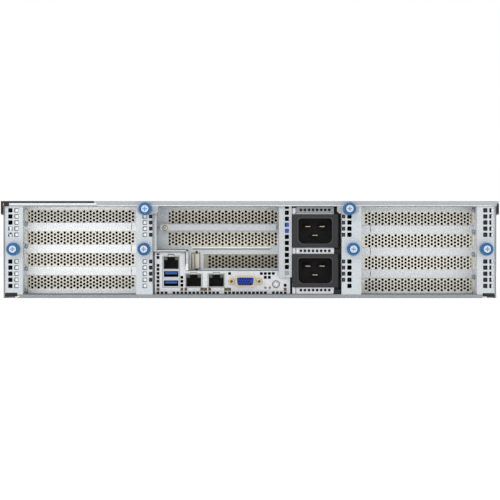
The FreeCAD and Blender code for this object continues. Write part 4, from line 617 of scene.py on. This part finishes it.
def centre_bracket():
    """The bracket's slot wall, its two side walls, the vented strip and the strip's return."""
    low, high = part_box("centre_riser_bracket")
    left, right, inner = low.x, high.x, 27.3 * MM
    slots = []
    for index, start in ((0, -74.5), (1, -74.5), (2, -42.3)):
        mid = slot_mid(index, "centre")
        slots.append(rounded(start * MM, mid - SLOT_HEIGHT / 2, inner - 1.4 * MM, mid + SLOT_HEIGHT / 2, 0.6 * MM, 2))
    mid = slot_mid(2, "centre")
    slots.append(rounded(-53.8 * MM, mid - 8 * MM, -45.5 * MM, mid + 8 * MM, 0.6 * MM, 2))
    notch_x, notch_z, foot = -56.7 * MM, 41.8 * MM, 24.7 * MM
    outline = [(left, notch_z), (notch_x, notch_z), (notch_x, foot), (inner, foot), (inner, high.z), (left, high.z)]
    wall = sheet([outline] + slots, SLOT_FACE, GAUGE, 0.2 * MM)
    keep(wall, "centre_slot_wall", ZINC_SHADE)
    face = low.y
    parts = [panel([rounded(face + 0.2 * MM, notch_z, BLANK_FACE, high.z, 0.2 * MM, 1)], left, GAUGE),
             panel([rounded(face + 0.2 * MM, 24.8 * MM, BLANK_FACE, high.z, 0.2 * MM, 1)], inner - GAUGE, GAUGE)]
    keep(merged(parts), "centre_bracket_walls", ZINC_SHADE)
    levels = [(20.75 + STRIP_PITCH * i, 24.6 + STRIP_PITCH * i) for i in range(11)] + [(80.6, 82.8)]
    vents = [soft_outline(31.55, z0, 35.25, z1, 0.45) for z0, z1 in levels]
    strip = sheet([rounded(inner - GAUGE, low.z, right, high.z, 1.0 * MM, 3)] + vents, face, GAUGE, 0.15 * MM)
    back = panel([rounded(face + 0.2 * MM, low.z, face + 11 * MM, high.z, 0.3 * MM, 2)], right - GAUGE, GAUGE)
    piece = keep(merged([strip, back]), "centre_strip", STRIP)
    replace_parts(smooth(piece), "centre_riser_bracket")


def release_tab():
    """The blue tab behind the strip, full width below and half width above."""
    low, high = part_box("riser_release_tab")
    x0, x1, y0, y1, z = low.x / MM, high.x / MM, low.y / MM, high.y / MM, low.z / MM
    piece = keep(merged([soft_brick(x0, y0, z - 1.6, x1, y1, z + 3.6, 0.3),
                         soft_brick(x0 + 3, y0, z + 3, x1, y1, z + 9, 0.3)]), "release_tab", BLUE_TONGUE)
    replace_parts(piece, "riser_release_tab")


def tower_edge():
    """The folded edge along the bracket's left side and round the network tower's top."""
    y = REAR / MM
    runs = [(-88.7, 43.4, -84.2, 77.6), (-88.9, 41.9, -55.6, 43.6), (-57.9, 25.0, -55.4, 43.6)]
    keep(merged([soft_brick(x0, y + 3.2, z0, x1, y + 4.6, z1, 0.3) for x0, z0, x1, z1 in runs]), "tower_edge", STRIP)
    # Thin dark bricks along the edge: painted shade in its gaps and corners.
    dark = [(-89.6, 41.0, -88.6, 79.0), (-85.9, 43.7, -85.3, 77.0), (-88.2, 41.3, -57.0, 41.8),
            (-84.0, 43.7, -56.0, 44.2), (-55.2, 25.0, -54.8, 43.6), (-58.5, 29.0, -58.0, 41.6)]
    keep(merged([soft_brick(x0, y + 2.9, z0, x1, y + 4.4, z1, 0.1) for x0, z0, x1, z1 in dark]), "tower_edge_shade",
         SEAM_SHADOW)
    keep(soft_brick(-58.0, y + 2.4, 25.2, -55.6, y + 3.6, 31.0, 0.4), "tower_tab", CREAM)


def centre_trim():
    """What stands proud of the centre bracket: a lip under the second slot, the folded edge and the card's tab."""
    face = SLOT_FACE / MM
    z = slot_mid(1, "centre") / MM - 6.3
    keep(soft_brick(-53.5, face - 2.2, z - 2.3, 19.5, face + 0.1, z - 0.5, 0.3), "slot_lip", CREAM)
    keep(soft_brick(-52.5, face - 0.5, z - 3.0, 18.5, face + 0.1, z - 2.5, 0.1), "slot_lip_shade", BLACK_PLASTIC_AND_SHADE)
    z = slot_mid(2, "centre") / MM
    keep(merged([soft_brick(-50.2, face + 0.4, z - 6.6, -46.4, face + 6, z + 7.2, 0.4),
                 soft_brick(-52.8, face - 0.8, z - 7.0, -51.6, face + 5, z + 7.0, 0.2)]), "card_tab", CREAM_CENTRE)
    # Black blocks above and below the tab: painted shade in its notches.
    keep(merged([soft_brick(-49.9, face - 0.4, z + 7.2, -47.9, face + 1, z + 9.6, 0.2),
                 soft_brick(-49.9, face - 0.4, z - 9.4, -47.9, face + 1, z - 7.0, 0.2)]), "card_tab_notch_shade",
         BLACK_PLASTIC_AND_SHADE)


centre_bracket()
centre_covers()
centre_trim()
release_tab()
tower_edge()


# Port panel and sockets

PORT_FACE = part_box("port_panel")[0].y
BOARD_TOP = 9.6
# Vents in a grid: first column and row, columns and rows; then the grid's first centre and its pitch, in millimetres
PORT_VENTS = [(0, 0, 3, 1), (4, 0, 12, 1), (17, 0, 11, 1), (29, 0, 4, 1), (0, 1, 1, 7), (0, 9, 1, 2),
              (6, 1, 2, 1), (6, 2, 1, 3), (11, 1, 3, 1), (17, 1, 2, 1), (32, 1, 1, 2), (18, 5, 1, 1),
              (26, 5, 4, 1), (27, 4, 2, 1)]
PORT_START, PORT_PITCH = (-83.2, 4.3), 3.6
PORT_LAMPS, LAMP_HEIGHT = (14.0, 18.1), 9.3
NETWORK = [(-71.3, BOARD_TOP + 16.0), (-50.9, BOARD_TOP), (-30.4, BOARD_TOP)]
VIDEO = (-4.1, 15.0)
VIDEO_SCREWS = (-12.5, 12.5)


def video_outline(grow, corner=1.7):
    """The D shape of the video socket, in millimetres, with round corners."""
    wide, low, tall = 8.0 + grow, 7.1 + grow, 3.8 + grow
    ends = [(wide, tall), (-wide, tall), (-low, -tall), (low, -tall)]
    points = []
    for i, (x, z) in enumerate(ends):
        before, after = Vector(ends[i - 1]), Vector(ends[(i + 1) % 4])
        here = Vector((x, z))
        a, b = (before - here).normalized() * corner, (after - here).normalized() * corner
        for t in (0.0, 0.25, 0.5, 0.75, 1.0):
            p = here + a * (1 - t) ** 2 + b * t ** 2
            points.append(((VIDEO[0] + p.x) * MM, (VIDEO[1] + p.y) * MM))
    return points


def port_panel():
    """The stepped panel with its vents. Its lowest row is a sheet of its own: with all loops in one, the fill fails."""
    low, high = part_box("port_panel")
    left, right, foot, top = low.x / MM, high.x / MM, low.z / MM, high.z / MM
    seam, rim, step_x, step_z = 6.2, 1.2, -57.0, 24.5
    loops = [in_metres([(left, seam), (right, seam), (right, step_z), (step_x, step_z), (step_x, top), (left, top)])]
    strip = [in_metres([(left, foot), (right, foot), (right, seam), (left, seam)])]
    for column, row, columns, rows in PORT_VENTS:
        for across in range(columns):
            for up in range(rows):
                x = PORT_START[0] + (column + across) * PORT_PITCH
                z = PORT_START[1] + (row + up) * PORT_PITCH
                tall = 1.55 if row + up == 0 else 1.35
                vent = soft_outline(x - 1.3, z - tall, x + 1.3, z + tall, 0.35)
                (strip if row + up == 0 else loops).append(vent)
    for x, z in NETWORK:
        low_edge = z - 0.2 if z < 20 else BOARD_TOP - 0.2
        loops.append(in_metres([
            (x - 7.9, low_edge), (x + 7.9, low_edge), (x + 7.9, z + 12.6), (x + 3.0, z + 12.6), (x + 3.0, z + 14.0),
            (x - 3.0, z + 14.0), (x - 3.0, z + 12.6), (x - 7.9, z + 12.6)]))
    loops.append(video_outline(1.2))
    loops.append(circle(23.6 * MM, 12.4 * MM, 3.6 * MM, 32))
    loops += [circle((VIDEO[0] + dx) * MM, VIDEO[1] * MM, 2.2 * MM, 20) for dx in VIDEO_SCREWS]
    loops += [circle(x * MM, LAMP_HEIGHT * MM, 1.1 * MM, 16) for x in PORT_LAMPS]
    face = PORT_FACE / MM
    parts = [sheet(loops, PORT_FACE, GAUGE, 0.12 * MM), sheet(strip, PORT_FACE, GAUGE, 0.05 * MM)]
    for x0, z0, x1, z1 in ((left, foot, left + rim, top), (right - rim, foot, right, step_z),
                           (left, foot, right, foot + rim), (step_x, step_z - rim, right, step_z),
                           (step_x - rim, step_z - rim, step_x, top), (left, top - rim, step_x, top)):
        parts.append(soft_brick(x0, face + 0.5, z0, x1, face + 16, z1))
    piece = keep(merged(parts), "port_panel_sheet", PANEL)
    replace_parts(smooth(piece), "port_panel")
    for x in PORT_LAMPS:
        lens = lathe([(PORT_FACE + 1.5 * MM, 1.0 * MM), (PORT_FACE + 0.4 * MM, 1.0 * MM),
                      (PORT_FACE + 0.1 * MM, 0.7 * MM)], 20)
        lens.transform(Matrix.Translation((x * MM, 0, LAMP_HEIGHT * MM)))
        smooth(keep(lens, f"port_lamp_{x:.0f}", LENS_AMBER))
    keep(soft_brick(left + 1.4, face + 1.5, 6.2, right - 1.4, face + 2.2, 9.2, 0.1), "gasket_strip", GASKET)
    # Black strips behind the lowest row and the left column of vents: painted shade.
    keep(merged([soft_brick(left + 1.3, face + 0.9, 2.2, right - 1.3, face + 1.3, 6.1, 0.1),
                 soft_brick(left + 1.3, face + 3.0, 2.7, -79.6, face + 3.6, 40.0, 0.1)]), "port_vent_shade", BLACK_PLASTIC_AND_SHADE)


def shell_walls(x, z, tall, front, back):
    """The four thin walls of a socket's shell, from its foot at z."""
    half, wall = 7.7, 0.6
    sides = ((-half, 0, wall - half, tall), (half - wall, 0, half, tall), (-half, 0, half, wall),
             (-half, tall - wall, half, tall))
    return [soft_brick(x + x0, front, z + z0, x + x1, back, z + z1, 0.08) for x0, z0, x1, z1 in sides]


def network_sockets():
    """Shells with a latch tab, the black insert and its two light windows, and eight contacts."""
    face = PORT_FACE / MM - 0.4
    shells, inserts, lights, contacts = [], [], [], []
    for x, z in NETWORK:
        outline = soft_outline(x - 7.7, z, x + 7.7, z + 12.4, 0.5)
        room = [(x - 6.9, z + 0.7), (x + 6.9, z + 0.7), (x + 6.9, z + 11.9), (x - 6.9, z + 11.9)]
        shells.append(soft_brick(x - 2.6, face - 0.1, z + 12.3, x + 2.6, face + 0.5, z + 13.5, 0.15))
        shells.append(sheet([outline, in_metres(room)], face * MM, 0.5 * MM, 0.1 * MM))
        shells += shell_walls(x, z, 12.4, face + 0.2, face + 18)
        plug = [(x - 5.9, z + 0.9), (x + 5.9, z + 0.9), (x + 5.9, z + 8.4), (x + 3.2, z + 8.4), (x + 3.2, z + 11.2),
                (x - 3.2, z + 11.2), (x - 3.2, z + 8.4), (x - 5.9, z + 8.4)]
        body = soft_outline(x - 7.1, z + 0.6, x + 7.1, z + 11.8, 0.2, 1)
        inserts.append(sheet([body, in_metres(plug)], (face + 0.6) * MM, 12 * MM, 0.1 * MM))
        inserts.append(soft_brick(x - 7.1, face + 12.5, z + 0.6, x + 7.1, face + 17.4, z + 11.8))
        for dx in (-5.2, 5.2):
            lights.append(soft_brick(x + dx - 1.6, face + 0.15, z + 8.9, x + dx + 1.6, face + 4, z + 11.4, 0.2))
        for i in range(8):
            cx = x + (i - 3.5) * 1.02
            contacts.append(soft_brick(cx - 0.2, face + 5, z + 1.1, cx + 0.2, face + 12.4, z + 1.5, 0.05))
    piece = keep(merged(shells), "network_shells", SHELL)
    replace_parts(piece, "rj45_shells")
    piece = keep(merged(inserts), "network_inserts", BLACK_PLASTIC_AND_SHADE)
    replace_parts(piece, "rj45_inserts")
    keep(merged(lights), "network_lights", LENS_GREEN)
    keep(merged(contacts), "network_contacts", GOLD)


def usb_sockets():
    """Two sockets in one shell, under the first network socket."""
    face = PORT_FACE / MM - 0.4
    x = NETWORK[0][0]
    loops = [soft_outline(x - 7.7, BOARD_TOP, x + 7.7, BOARD_TOP + 16, 0.4)]
    tongues, contacts, shells, liner_shades = [], [], [], []
    for level in (0, 1):
        foot = BOARD_TOP + 1.1 + level * 8.4
        loops.append(soft_outline(x - 6.55, foot, x + 6.55, foot + 5.2, 0.5))
        # Black sleeves inside each opening: painted shade.
        liner_shades.append(soft_brick(x - 7.0, face + 16, foot - 0.5, x + 7.0, face + 17, foot + 6.2))
        ring = soft_outline(x - 6.95, foot - 0.3, x + 6.95, foot + 5.6, 0.6)
        hole = soft_outline(x - 6.5, foot + 0.1, x + 6.5, foot + 5.15, 0.4)
        liner_shades.append(sheet([ring, hole], (face + 0.5) * MM, 15.4 * MM, 0.05 * MM))
        tongues.append(soft_brick(x - 5.6, face + 1.2, foot + 2.35, x + 5.6, face + 15.5, foot + 4.3, 0.25))
        for i in range(4):
            cx = x + (i - 1.5) * 2.4
            contacts.append(soft_brick(cx - 0.5, face + 1.6, foot + 2.2, cx + 0.5, face + 9, foot + 2.45, 0.05))
    shells.append(sheet(loops, face * MM, 0.6 * MM, 0.15 * MM))
    shells += shell_walls(x, BOARD_TOP, 16, face + 0.3, face + 17)
    piece = keep(merged(shells), "usb_shell_sheet", SHELL)
    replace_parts(piece, "usb_shells")
    piece = keep(merged(tongues), "usb_tongue_bars", BLUE_TONGUE)
    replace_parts(piece, "usb_tongues")
    keep(merged(liner_shades), "usb_liner_shade", BLACK_PLASTIC_AND_SHADE)
    keep(merged(contacts), "usb_contacts", GOLD)


def video_socket():
    """The shell and its flange, the insert with fifteen holes, and a jackscrew on each side."""
    start = PORT_FACE - 4.0 * MM
    rim = sheet([video_outline(0.6), video_outline(-0.15)], start, 12.5 * MM, 0.25 * MM)
    outline = soft_outline(VIDEO[0] - 10.2, VIDEO[1] - 5.4, VIDEO[0] + 10.2, VIDEO[1] + 5.4, 3.9, 5)
    flange = sheet([outline, video_outline(-0.15)], PORT_FACE - 0.9 * MM, 0.8 * MM, 0.2 * MM)
    piece = keep(merged([rim, flange]), "video_shell", CREAM_GOLD)
    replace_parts(smooth(piece), "vga_shell")
    holes = []
    for dz, dx in ((2.1, 0.0), (0.0, -1.15), (-2.1, 0.0)):
        for i in range(5):
            holes.append(circle((VIDEO[0] + dx + (i - 2) * 2.3) * MM, (VIDEO[1] + dz) * MM, 0.8 * MM, 10))
    face = sheet([video_outline(-0.3)] + holes, start + 0.7 * MM, 3 * MM, 0.1 * MM)
    piece = keep(face, "video_insert", BLUE_INSERT)
    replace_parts(piece, "vga_insert")
    # A black sheet behind the insert, so its holes look dark: painted shade.
    keep(sheet([video_outline(-0.3)], start + 2.4 * MM, 6 * MM, 0.05 * MM), "video_insert_shade", BLACK_PLASTIC_AND_SHADE)
    nuts, threads = [], []
    for dx in VIDEO_SCREWS:
        x, z = (VIDEO[0] + dx) * MM, VIDEO[1] * MM
        nut = sheet([circle(x, z, 2.85 * MM, 6, 0.3), circle(x, z, 1.35 * MM, 16)], PORT_FACE - 4.8 * MM,
                    4.7 * MM, 0.35 * MM)
        washer = sheet([circle(x, z, 3.1 * MM, 28), circle(x, z, 1.4 * MM, 16)], PORT_FACE - 0.9 * MM,
                       0.7 * MM, 0.2 * MM)
        core = lathe([(PORT_FACE - 3.6 * MM, 1.34 * MM), (PORT_FACE + 4.6 * MM, 1.34 * MM)], 16)
        core.transform(Matrix.Translation((x, 0, z)))
        nuts += [nut, washer]
        threads.append(core)
    piece = keep(merged(nuts), "jackscrews", BRASS)
    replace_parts(smooth(piece), "vga_jackscrews")
    keep(merged(threads), "jackscrew_threads", GASKET)


def locator():
    """A clear ring round a white dome."""
    low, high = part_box("locator_button")
    tip, wide, cap, lens = low.y, 4.2 * MM, 3.15 * MM, 1.9 * MM
    at = Matrix.Translation(((low.x + high.x) / 2, 0, (low.z + high.z) / 2))
    ring = lathe([(high.y, wide), (high.y - 1.5 * MM, wide), (high.y - 1.6 * MM, cap), (tip + 0.5 * MM, cap),
                  (tip, 2.8 * MM), (tip + 0.05 * MM, 2.2 * MM), (tip + 0.5 * MM, lens)], 40)
    ring.transform(at)
    piece = smooth(keep(ring, "locator_ring", LENS_RING, "locator_button"), 50)
    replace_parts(piece, "locator_button")
    dome = lathe([(tip + 1.2 * MM, 1.95 * MM), (tip + 0.55 * MM, lens), (tip + 0.15 * MM, 1.3 * MM),
                  (tip + 0.05 * MM, 0.6 * MM)], 32)
    dome.transform(at)
    smooth(keep(dome, "locator_lens", LENS_WHITE, "locator_button"), 60)


port_panel()
network_sockets()
usb_sockets()
video_socket()
locator()


# Power inlets

INLET_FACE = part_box("inlet_bracket")[0].y
INLET_X, INLET_MID, INLET_PITCH = 58.9, 42.7, 35.8
FLANGE_HALF = 15.2


def mouth(x, z, grow=0.0):
    """The inlet's opening: small corners above, large ones below."""
    w, h = 15.1 + grow, 11.3 + grow
    return rounded((x - w) * MM, (z - h) * MM, (x + w) * MM, (z + h) * MM, (2.6 * MM, 2.6 * MM, 4.8 * MM, 4.8 * MM), 5)


def inlets():
    """Two flanged inlets, each a rimmed mouth, a well and three blades."""
    flange_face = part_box("power_inlets")[0].y
    parts, rims, pins, wells = [], [], [], []
    for sign in (1, -1):
        x, z = INLET_X, INLET_MID + sign * INLET_PITCH / 2
        outline = soft_outline(x - 20.6, z - FLANGE_HALF, x + 20.6, z + FLANGE_HALF, 0.8, 3)
        parts.append(sheet([outline, mouth(x, z, 0.6)], flange_face, 2.8 * MM, 0.3 * MM))
        rims.append(sheet([mouth(x, z, 1.1), mouth(x, z)], flange_face - 0.001 * MM, 2.2 * MM, 0.35 * MM))
        body = soft_outline(x - 17, z - 13.5, x + 17, z + 13.5, 2.0, 3)
        wells.append(sheet([body, mouth(x, z, 0.2)], flange_face + 2.3 * MM, 17 * MM, 0.1 * MM))
        wells.append(sheet([body], flange_face + 19 * MM, 5 * MM, 0.1 * MM))
        for dx, dz in ((-6.5, 4.1), (6.5, 4.1), (0, -3.9)):
            near = flange_face / MM + 3
            pins.append(soft_brick(x + dx - 2.2, near, z + dz - 0.4, x + dx + 2.2, near + 16, z + dz + 0.4, 0.15))
            wells.append(soft_brick(x + dx - 3.6, near + 13.2, z + dz - 1.6,
                                    x + dx + 3.6, near + 16.4, z + dz + 1.6, 0.4))
    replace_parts(keep(merged(parts), "inlet_flanges", BLACK), "power_inlets")
    keep(merged(rims), "inlet_rims", BLACK_RIM)
    keep(merged(wells), "inlet_wells", BLACK_WELL)
    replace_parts(keep(merged(pins), "inlet_blades", PIN), "inlet_pins")


def inlet_plate():
    """The inlets' bracket with three rows of holes and its top in a darker zinc as painted shade, the supply's edge,
    and black blocks in the gap beside it as painted shade.
    """
    low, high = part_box("inlet_bracket")
    reach, shade_from = INLET_PITCH / 2 + FLANGE_HALF, 76.5
    rows = (INLET_MID, INLET_MID + reach + 3.9, INLET_MID - reach - 2.4)
    loops = [rounded(low.x, low.z, high.x, shade_from * MM, 0.4 * MM, 2)]
    shaded = [rounded(low.x, shade_from * MM, high.x, high.z, 0.4 * MM, 2)]
    for z in rows:
        row = [circle((INLET_X + (i - 3.5) * 3.66) * MM, z * MM, 1.3 * MM, 16) for i in range(8)]
        (loops if z < shade_from else shaded).extend(row)
    # The top strip takes the dark copy of the zinc: painted shade under the cover's hem.
    keep(sheet(shaded, INLET_FACE, GAUGE, 0.2 * MM), "inlet_plate_top", ZINC_DEEP)
    for sign in (1, -1):
        z = INLET_MID + sign * INLET_PITCH / 2
        high_edge = min(z + 13.6, shade_from - 0.3)
        loops.append(soft_outline(INLET_X - 15.5, z - 13.6, INLET_X + 15.5, high_edge, 0.5))
    parts = [sheet(loops, INLET_FACE, GAUGE, 0.2 * MM),
             brick((low.x, INLET_FACE + 0.5 * MM, low.z), (high.x, high.y, low.z + GAUGE))]
    piece = keep(merged(parts), "inlet_plate", ZINC)
    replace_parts(smooth(piece), "inlet_bracket")
    face = INLET_FACE / MM + 1.3
    keep(merged([soft_brick(INLET_X - 15, face, z - 1.6, INLET_X + 15, face + 0.5, z + 1.6, 0.1) for z in rows]),
         "inlet_plate_shade", BLACK_PLASTIC_AND_SHADE)
    edge = low.x / MM
    keep(soft_brick(38.4, INLET_FACE / MM + 0.4, 3.0, edge - 0.5, INLET_FACE / MM + 14, 81.5, 0.15),
         "supply_edge", ZINC)
    # Black blocks in the dark gap beside the supply's edge: painted shade.
    gap_shades = [soft_brick(76.6, INLET_FACE / MM + 2.2, 1.6, 81.2, INLET_FACE / MM + 30, 81.6, 0.3),
             soft_brick(75.6, INLET_FACE / MM - 0.6, 1.6, 82.2, INLET_FACE / MM + 3, 8.0, 0.4),
             soft_brick(76.2, INLET_FACE / MM - 0.4, 39.5, 81.4, INLET_FACE / MM + 3, 44.5, 0.4)]
    keep(merged(gap_shades), "supply_gap_shade", BLACK_PLASTIC_AND_SHADE)


inlets()
inlet_plate()


# Thumbscrews

def cross_recess(radius):
    """Two crossed slots, as a loop for a sheet."""
    w, r = 0.2 * radius, 0.8 * radius
    return [(r, -w), (r, w), (w, w), (w, r), (-w, r), (-w, w), (-r, w), (-r, -w), (-w, -w), (-w, -r), (w, -r), (w, -w)]


def thumbscrew(name):
    """A knurled grip on a steel core with a cross recess, and the core's shank."""
    low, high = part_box(name)
    tip, seat, grip, core = low.y, high.y - 9.0 * MM, 5.8 * MM, 3.3 * MM
    at = Matrix.Translation(((low.x + high.x) / 2, 0, (low.z + high.z) / 2))
    ring = lathe([(seat, 4.2 * MM), (seat, grip * 0.93), (seat - 0.8 * MM, grip * 0.94), (seat - 1.2 * MM, grip, 0.5),
                  (seat - 2 * MM, grip * 0.985, 1), (tip + 1.3 * MM, grip * 0.985, 1),
                  (tip + 0.5 * MM, grip * 0.96, 0.4), (tip, grip * 0.88), (tip + 0.05 * MM, grip * 0.7),
                  (tip + 0.5 * MM, core * 1.16),
                  (tip + 1.6 * MM, core * 1.02), (tip + 3 * MM, core)], 96, 0.018, 24)
    ring.transform(at)
    sleeve = smooth(keep(ring, f"{name}_grip", BLUE, name), 50)
    head = lathe([(tip + 3.2 * MM, core), (tip + 1.3 * MM, core)], 48)
    face = sheet([circle(0, 0, core * 1.02, 40), cross_recess(core * 0.72)], tip + 0.5 * MM, 0.9 * MM, 0.2 * MM)
    shank = lathe([(tip + 3 * MM, core * 0.5), (seat + 7.6 * MM, 1.7 * MM), (seat + 8.6 * MM, 1.2 * MM)], 24)
    centre = keep(merged([head, face, shank], [at, at, at]), f"{name}_core", WHITE_STEEL, name)
    smooth(centre, 30)
    floor = lathe([(tip + 1.25 * MM, core * 0.9), (tip + 0.9 * MM, core * 0.9)], 24)
    keep(merged([floor], [at]), f"{name}_recess", RECESS_BLUE, name)
    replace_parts(sleeve, name)


for name in [n for n in nodes if "thumbscrew" in n]:
    thumbscrew(name)


# Cover hem and corners

def hem_and_corners():
    """A white line on the cover's hem as a painted highlight, and a fold below it whose lighter colour is painted
    highlight too; along the chassis' lower edge, small tabs and dark blocks that are painted shade in its notches and
    gap.
    """
    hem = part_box("top_cover")[0].y / MM
    top = TOP / MM
    # A white line and a lighter fold on the hem: painted highlights on its bend.
    keep(soft_brick(-222, hem - 0.02, top - 3.4, -138, hem + 1, top - 2.0, 0.2), "hem_highlight_line", ZINC_LIT, "cover")
    keep(soft_brick(-137, hem - 0.02, top - 4.6, 218, hem + 0.8, top - 3.7, 0.2), "hem_fold_highlight", ZINC, "cover")
    y = REAR / MM
    # Black blocks in the corner notches: painted shade.
    black = [soft_brick(-220.4, y - 0.2, 1.6, -209.4, y + 3, 5.0, 0.3),
             soft_brick(209.6, y - 0.2, 1.4, 220.2, y + 3, 4.6, 0.3)]
    keep(merged(black), "corner_gap_shade", BLACK_PLASTIC_AND_SHADE)
    keep(merged([soft_brick(-211.5, y - 0.02, 0.6, -207.6, y + 1.4, 2.2, 0.3),
                 soft_brick(209.2, y - 0.02, 0.6, 213.6, y + 1.4, 2.2, 0.3)]), "corner_tabs", CREAM)
    # A dark strip in the gap above the lip: painted shade.
    keep(soft_brick(-206, y + 0.3, 2.5, 206, y + 1.0, 3.9, 0.1), "lip_gap_shade", SEAM_SHADOW)


hem_and_corners()


# Levers of the drive trays

def lever_grips():
    """Ribs at the free end of each lever and a catch beyond them."""
    for number in range(1, 5):
        low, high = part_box(f"tray_lever_{number}")
        end, face, foot, top = high.x / MM, high.y / MM, low.z / MM, high.z / MM
        ribs = [soft_brick(end - 17 + 2.2 * i, face - 0.3, foot + 1.4, end - 16 + 2.2 * i, face + 0.5, top - 1.4, 0.2)
                for i in range(6)]
        keep(merged(ribs), f"lever_ribs_{number}", GRIP, f"tray_lever_{number}")
        catch = soft_brick(end - 3.6, face - 0.3, foot + 1.6, end - 1.0, face + 0.7, top - 1.6, 0.4)
        keep(catch, f"lever_catch_{number}", LENS_AMBER, f"tray_lever_{number}")


lever_grips()


# Materials on the CAD nodes that stay

CARRIED = {
    "chassis_base": TRAY_SHEET, "rear_frame": ZINC_LIT, "slot_clamp_bar": STRIP, "power_supplies": ZINC,
    "motherboard": BOARD, "cpu_heatsinks": FINS, "memory_modules": BOARD, "riser_cards": BOARD,
    "fan_bulkhead": ZINC, "fan_frames": BLACK, "front_top_panel": COVER_SHEET, "drive_cage": ZINC,
    "drive_backplane": BOARD, "front_grille": GRILLE, "control_panel": GRILLE, "rack_ears": EAR,
    "front_handles": EAR, "rail_studs": STEEL, "top_cover": COVER_SHEET, "cover_edge_strip": BLACK_PLASTIC_AND_SHADE,
    "power_button": LENS_WHITE,
}
REPEATED = {"fan_rotor": BLACK, "drive_tray": TRAY, "tray_lever": LEVER}
LEFT_SHARP = ("fan_frames", "memory_modules", "cpu_heatsinks")
for name, node in nodes.items():
    if node.hide_render:
        continue
    material = CARRIED.get(name) or REPEATED[name.rsplit("_", 1)[0]]
    node.data.materials.clear()
    node.data.materials.append(material)
    if name not in LEFT_SHARP:
        soften(node)


# Floor, light and camera

def studio():
    """A pale floor, and a world that is white to the camera and in reflections but lights softly."""
    bpy.ops.mesh.primitive_plane_add(size=12, location=(0, 0, UNDER - 0.0002))
    floor = bpy.context.object
    floor.name = "floor"
    pale = bpy.data.materials.new("floor")
    pale.use_nodes = True
    shader = pale.node_tree.nodes["Principled BSDF"]
    shader.inputs["Base Color"].default_value = (0.9, 0.9, 0.9, 1)
    shader.inputs["Roughness"].default_value = 0.9
    shader.inputs["Emission Color"].default_value = (1, 1, 1, 1)
    shader.inputs["Emission Strength"].default_value = 0.6
    floor.data.materials.append(pale)
    world = bpy.data.worlds.new("studio")
    bpy.context.scene.world = world
    world.use_nodes = True
    tree = world.node_tree
    path = tree.nodes.new("ShaderNodeLightPath")
    plain = tree.nodes["Background"]
    plain.inputs["Color"].default_value = (0.98, 0.99, 1.0, 1)
    plain.inputs["Strength"].default_value = 0.42
    white = tree.nodes.new("ShaderNodeBackground")
    white.inputs["Color"].default_value = (1, 1, 1, 1)
    white.inputs["Strength"].default_value = 1.0
    mix = tree.nodes.new("ShaderNodeMixShader")
    rays = path.outputs["Is Camera Ray"]
    for kind in ("Is Glossy Ray", "Is Transmission Ray"):
        either = tree.nodes.new("ShaderNodeMath")
        either.operation = "MAXIMUM"
        tree.links.new(rays, either.inputs[0])
        tree.links.new(path.outputs[kind], either.inputs[1])
        rays = either.outputs[0]
    tree.links.new(rays, mix.inputs["Fac"])
    tree.links.new(plain.outputs[0], mix.inputs[1])
    tree.links.new(white.outputs[0], mix.inputs[2])
    tree.links.new(mix.outputs[0], tree.nodes["World Output"].inputs["Surface"])


def area_light(name, place, aim, size, power, color=(1, 1, 1)):
    light = bpy.data.lights.new(name, "AREA")
    light.shape, light.size, light.size_y = "RECTANGLE", size[0], size[1]
    light.energy, light.color = power, color
    lamp = bpy.data.objects.new(name, light)
    bpy.context.scene.collection.objects.link(lamp)
    lamp.location = place
    lamp.rotation_euler = (Vector(aim) - Vector(place)).to_track_quat("-Z", "Y").to_euler()


def camera():
    """Level with the middle of the rear, straight on, as far off as the photograph was taken."""
    away = 1.15
    across = 0.4504
    data = bpy.data.cameras.new("camera")
    data.sensor_width = 36.0
    data.lens = data.sensor_width * away / across
    data.clip_end = 30.0
    cam = bpy.data.objects.new("camera", data)
    bpy.context.scene.collection.objects.link(cam)
    cam.location = (0.0001, REAR - away, MIDDLE - 0.0003)
    cam.rotation_euler = (math.radians(90), 0, 0)
    bpy.context.scene.camera = cam


studio()
centre = (0, REAR, MIDDLE)
area_light("key", (-0.6, REAR - 1.1, 0.9), centre, (1.2, 0.8), 7)
area_light("fill", (0.9, REAR - 1.0, 0.5), centre, (0.8, 0.8), 2.2)
area_light("top", (0, 0.2, 1.6), (0, 0, 0), (1.6, 1.6), 6)
camera()
bpy.context.scene.view_settings.view_transform = "Standard"
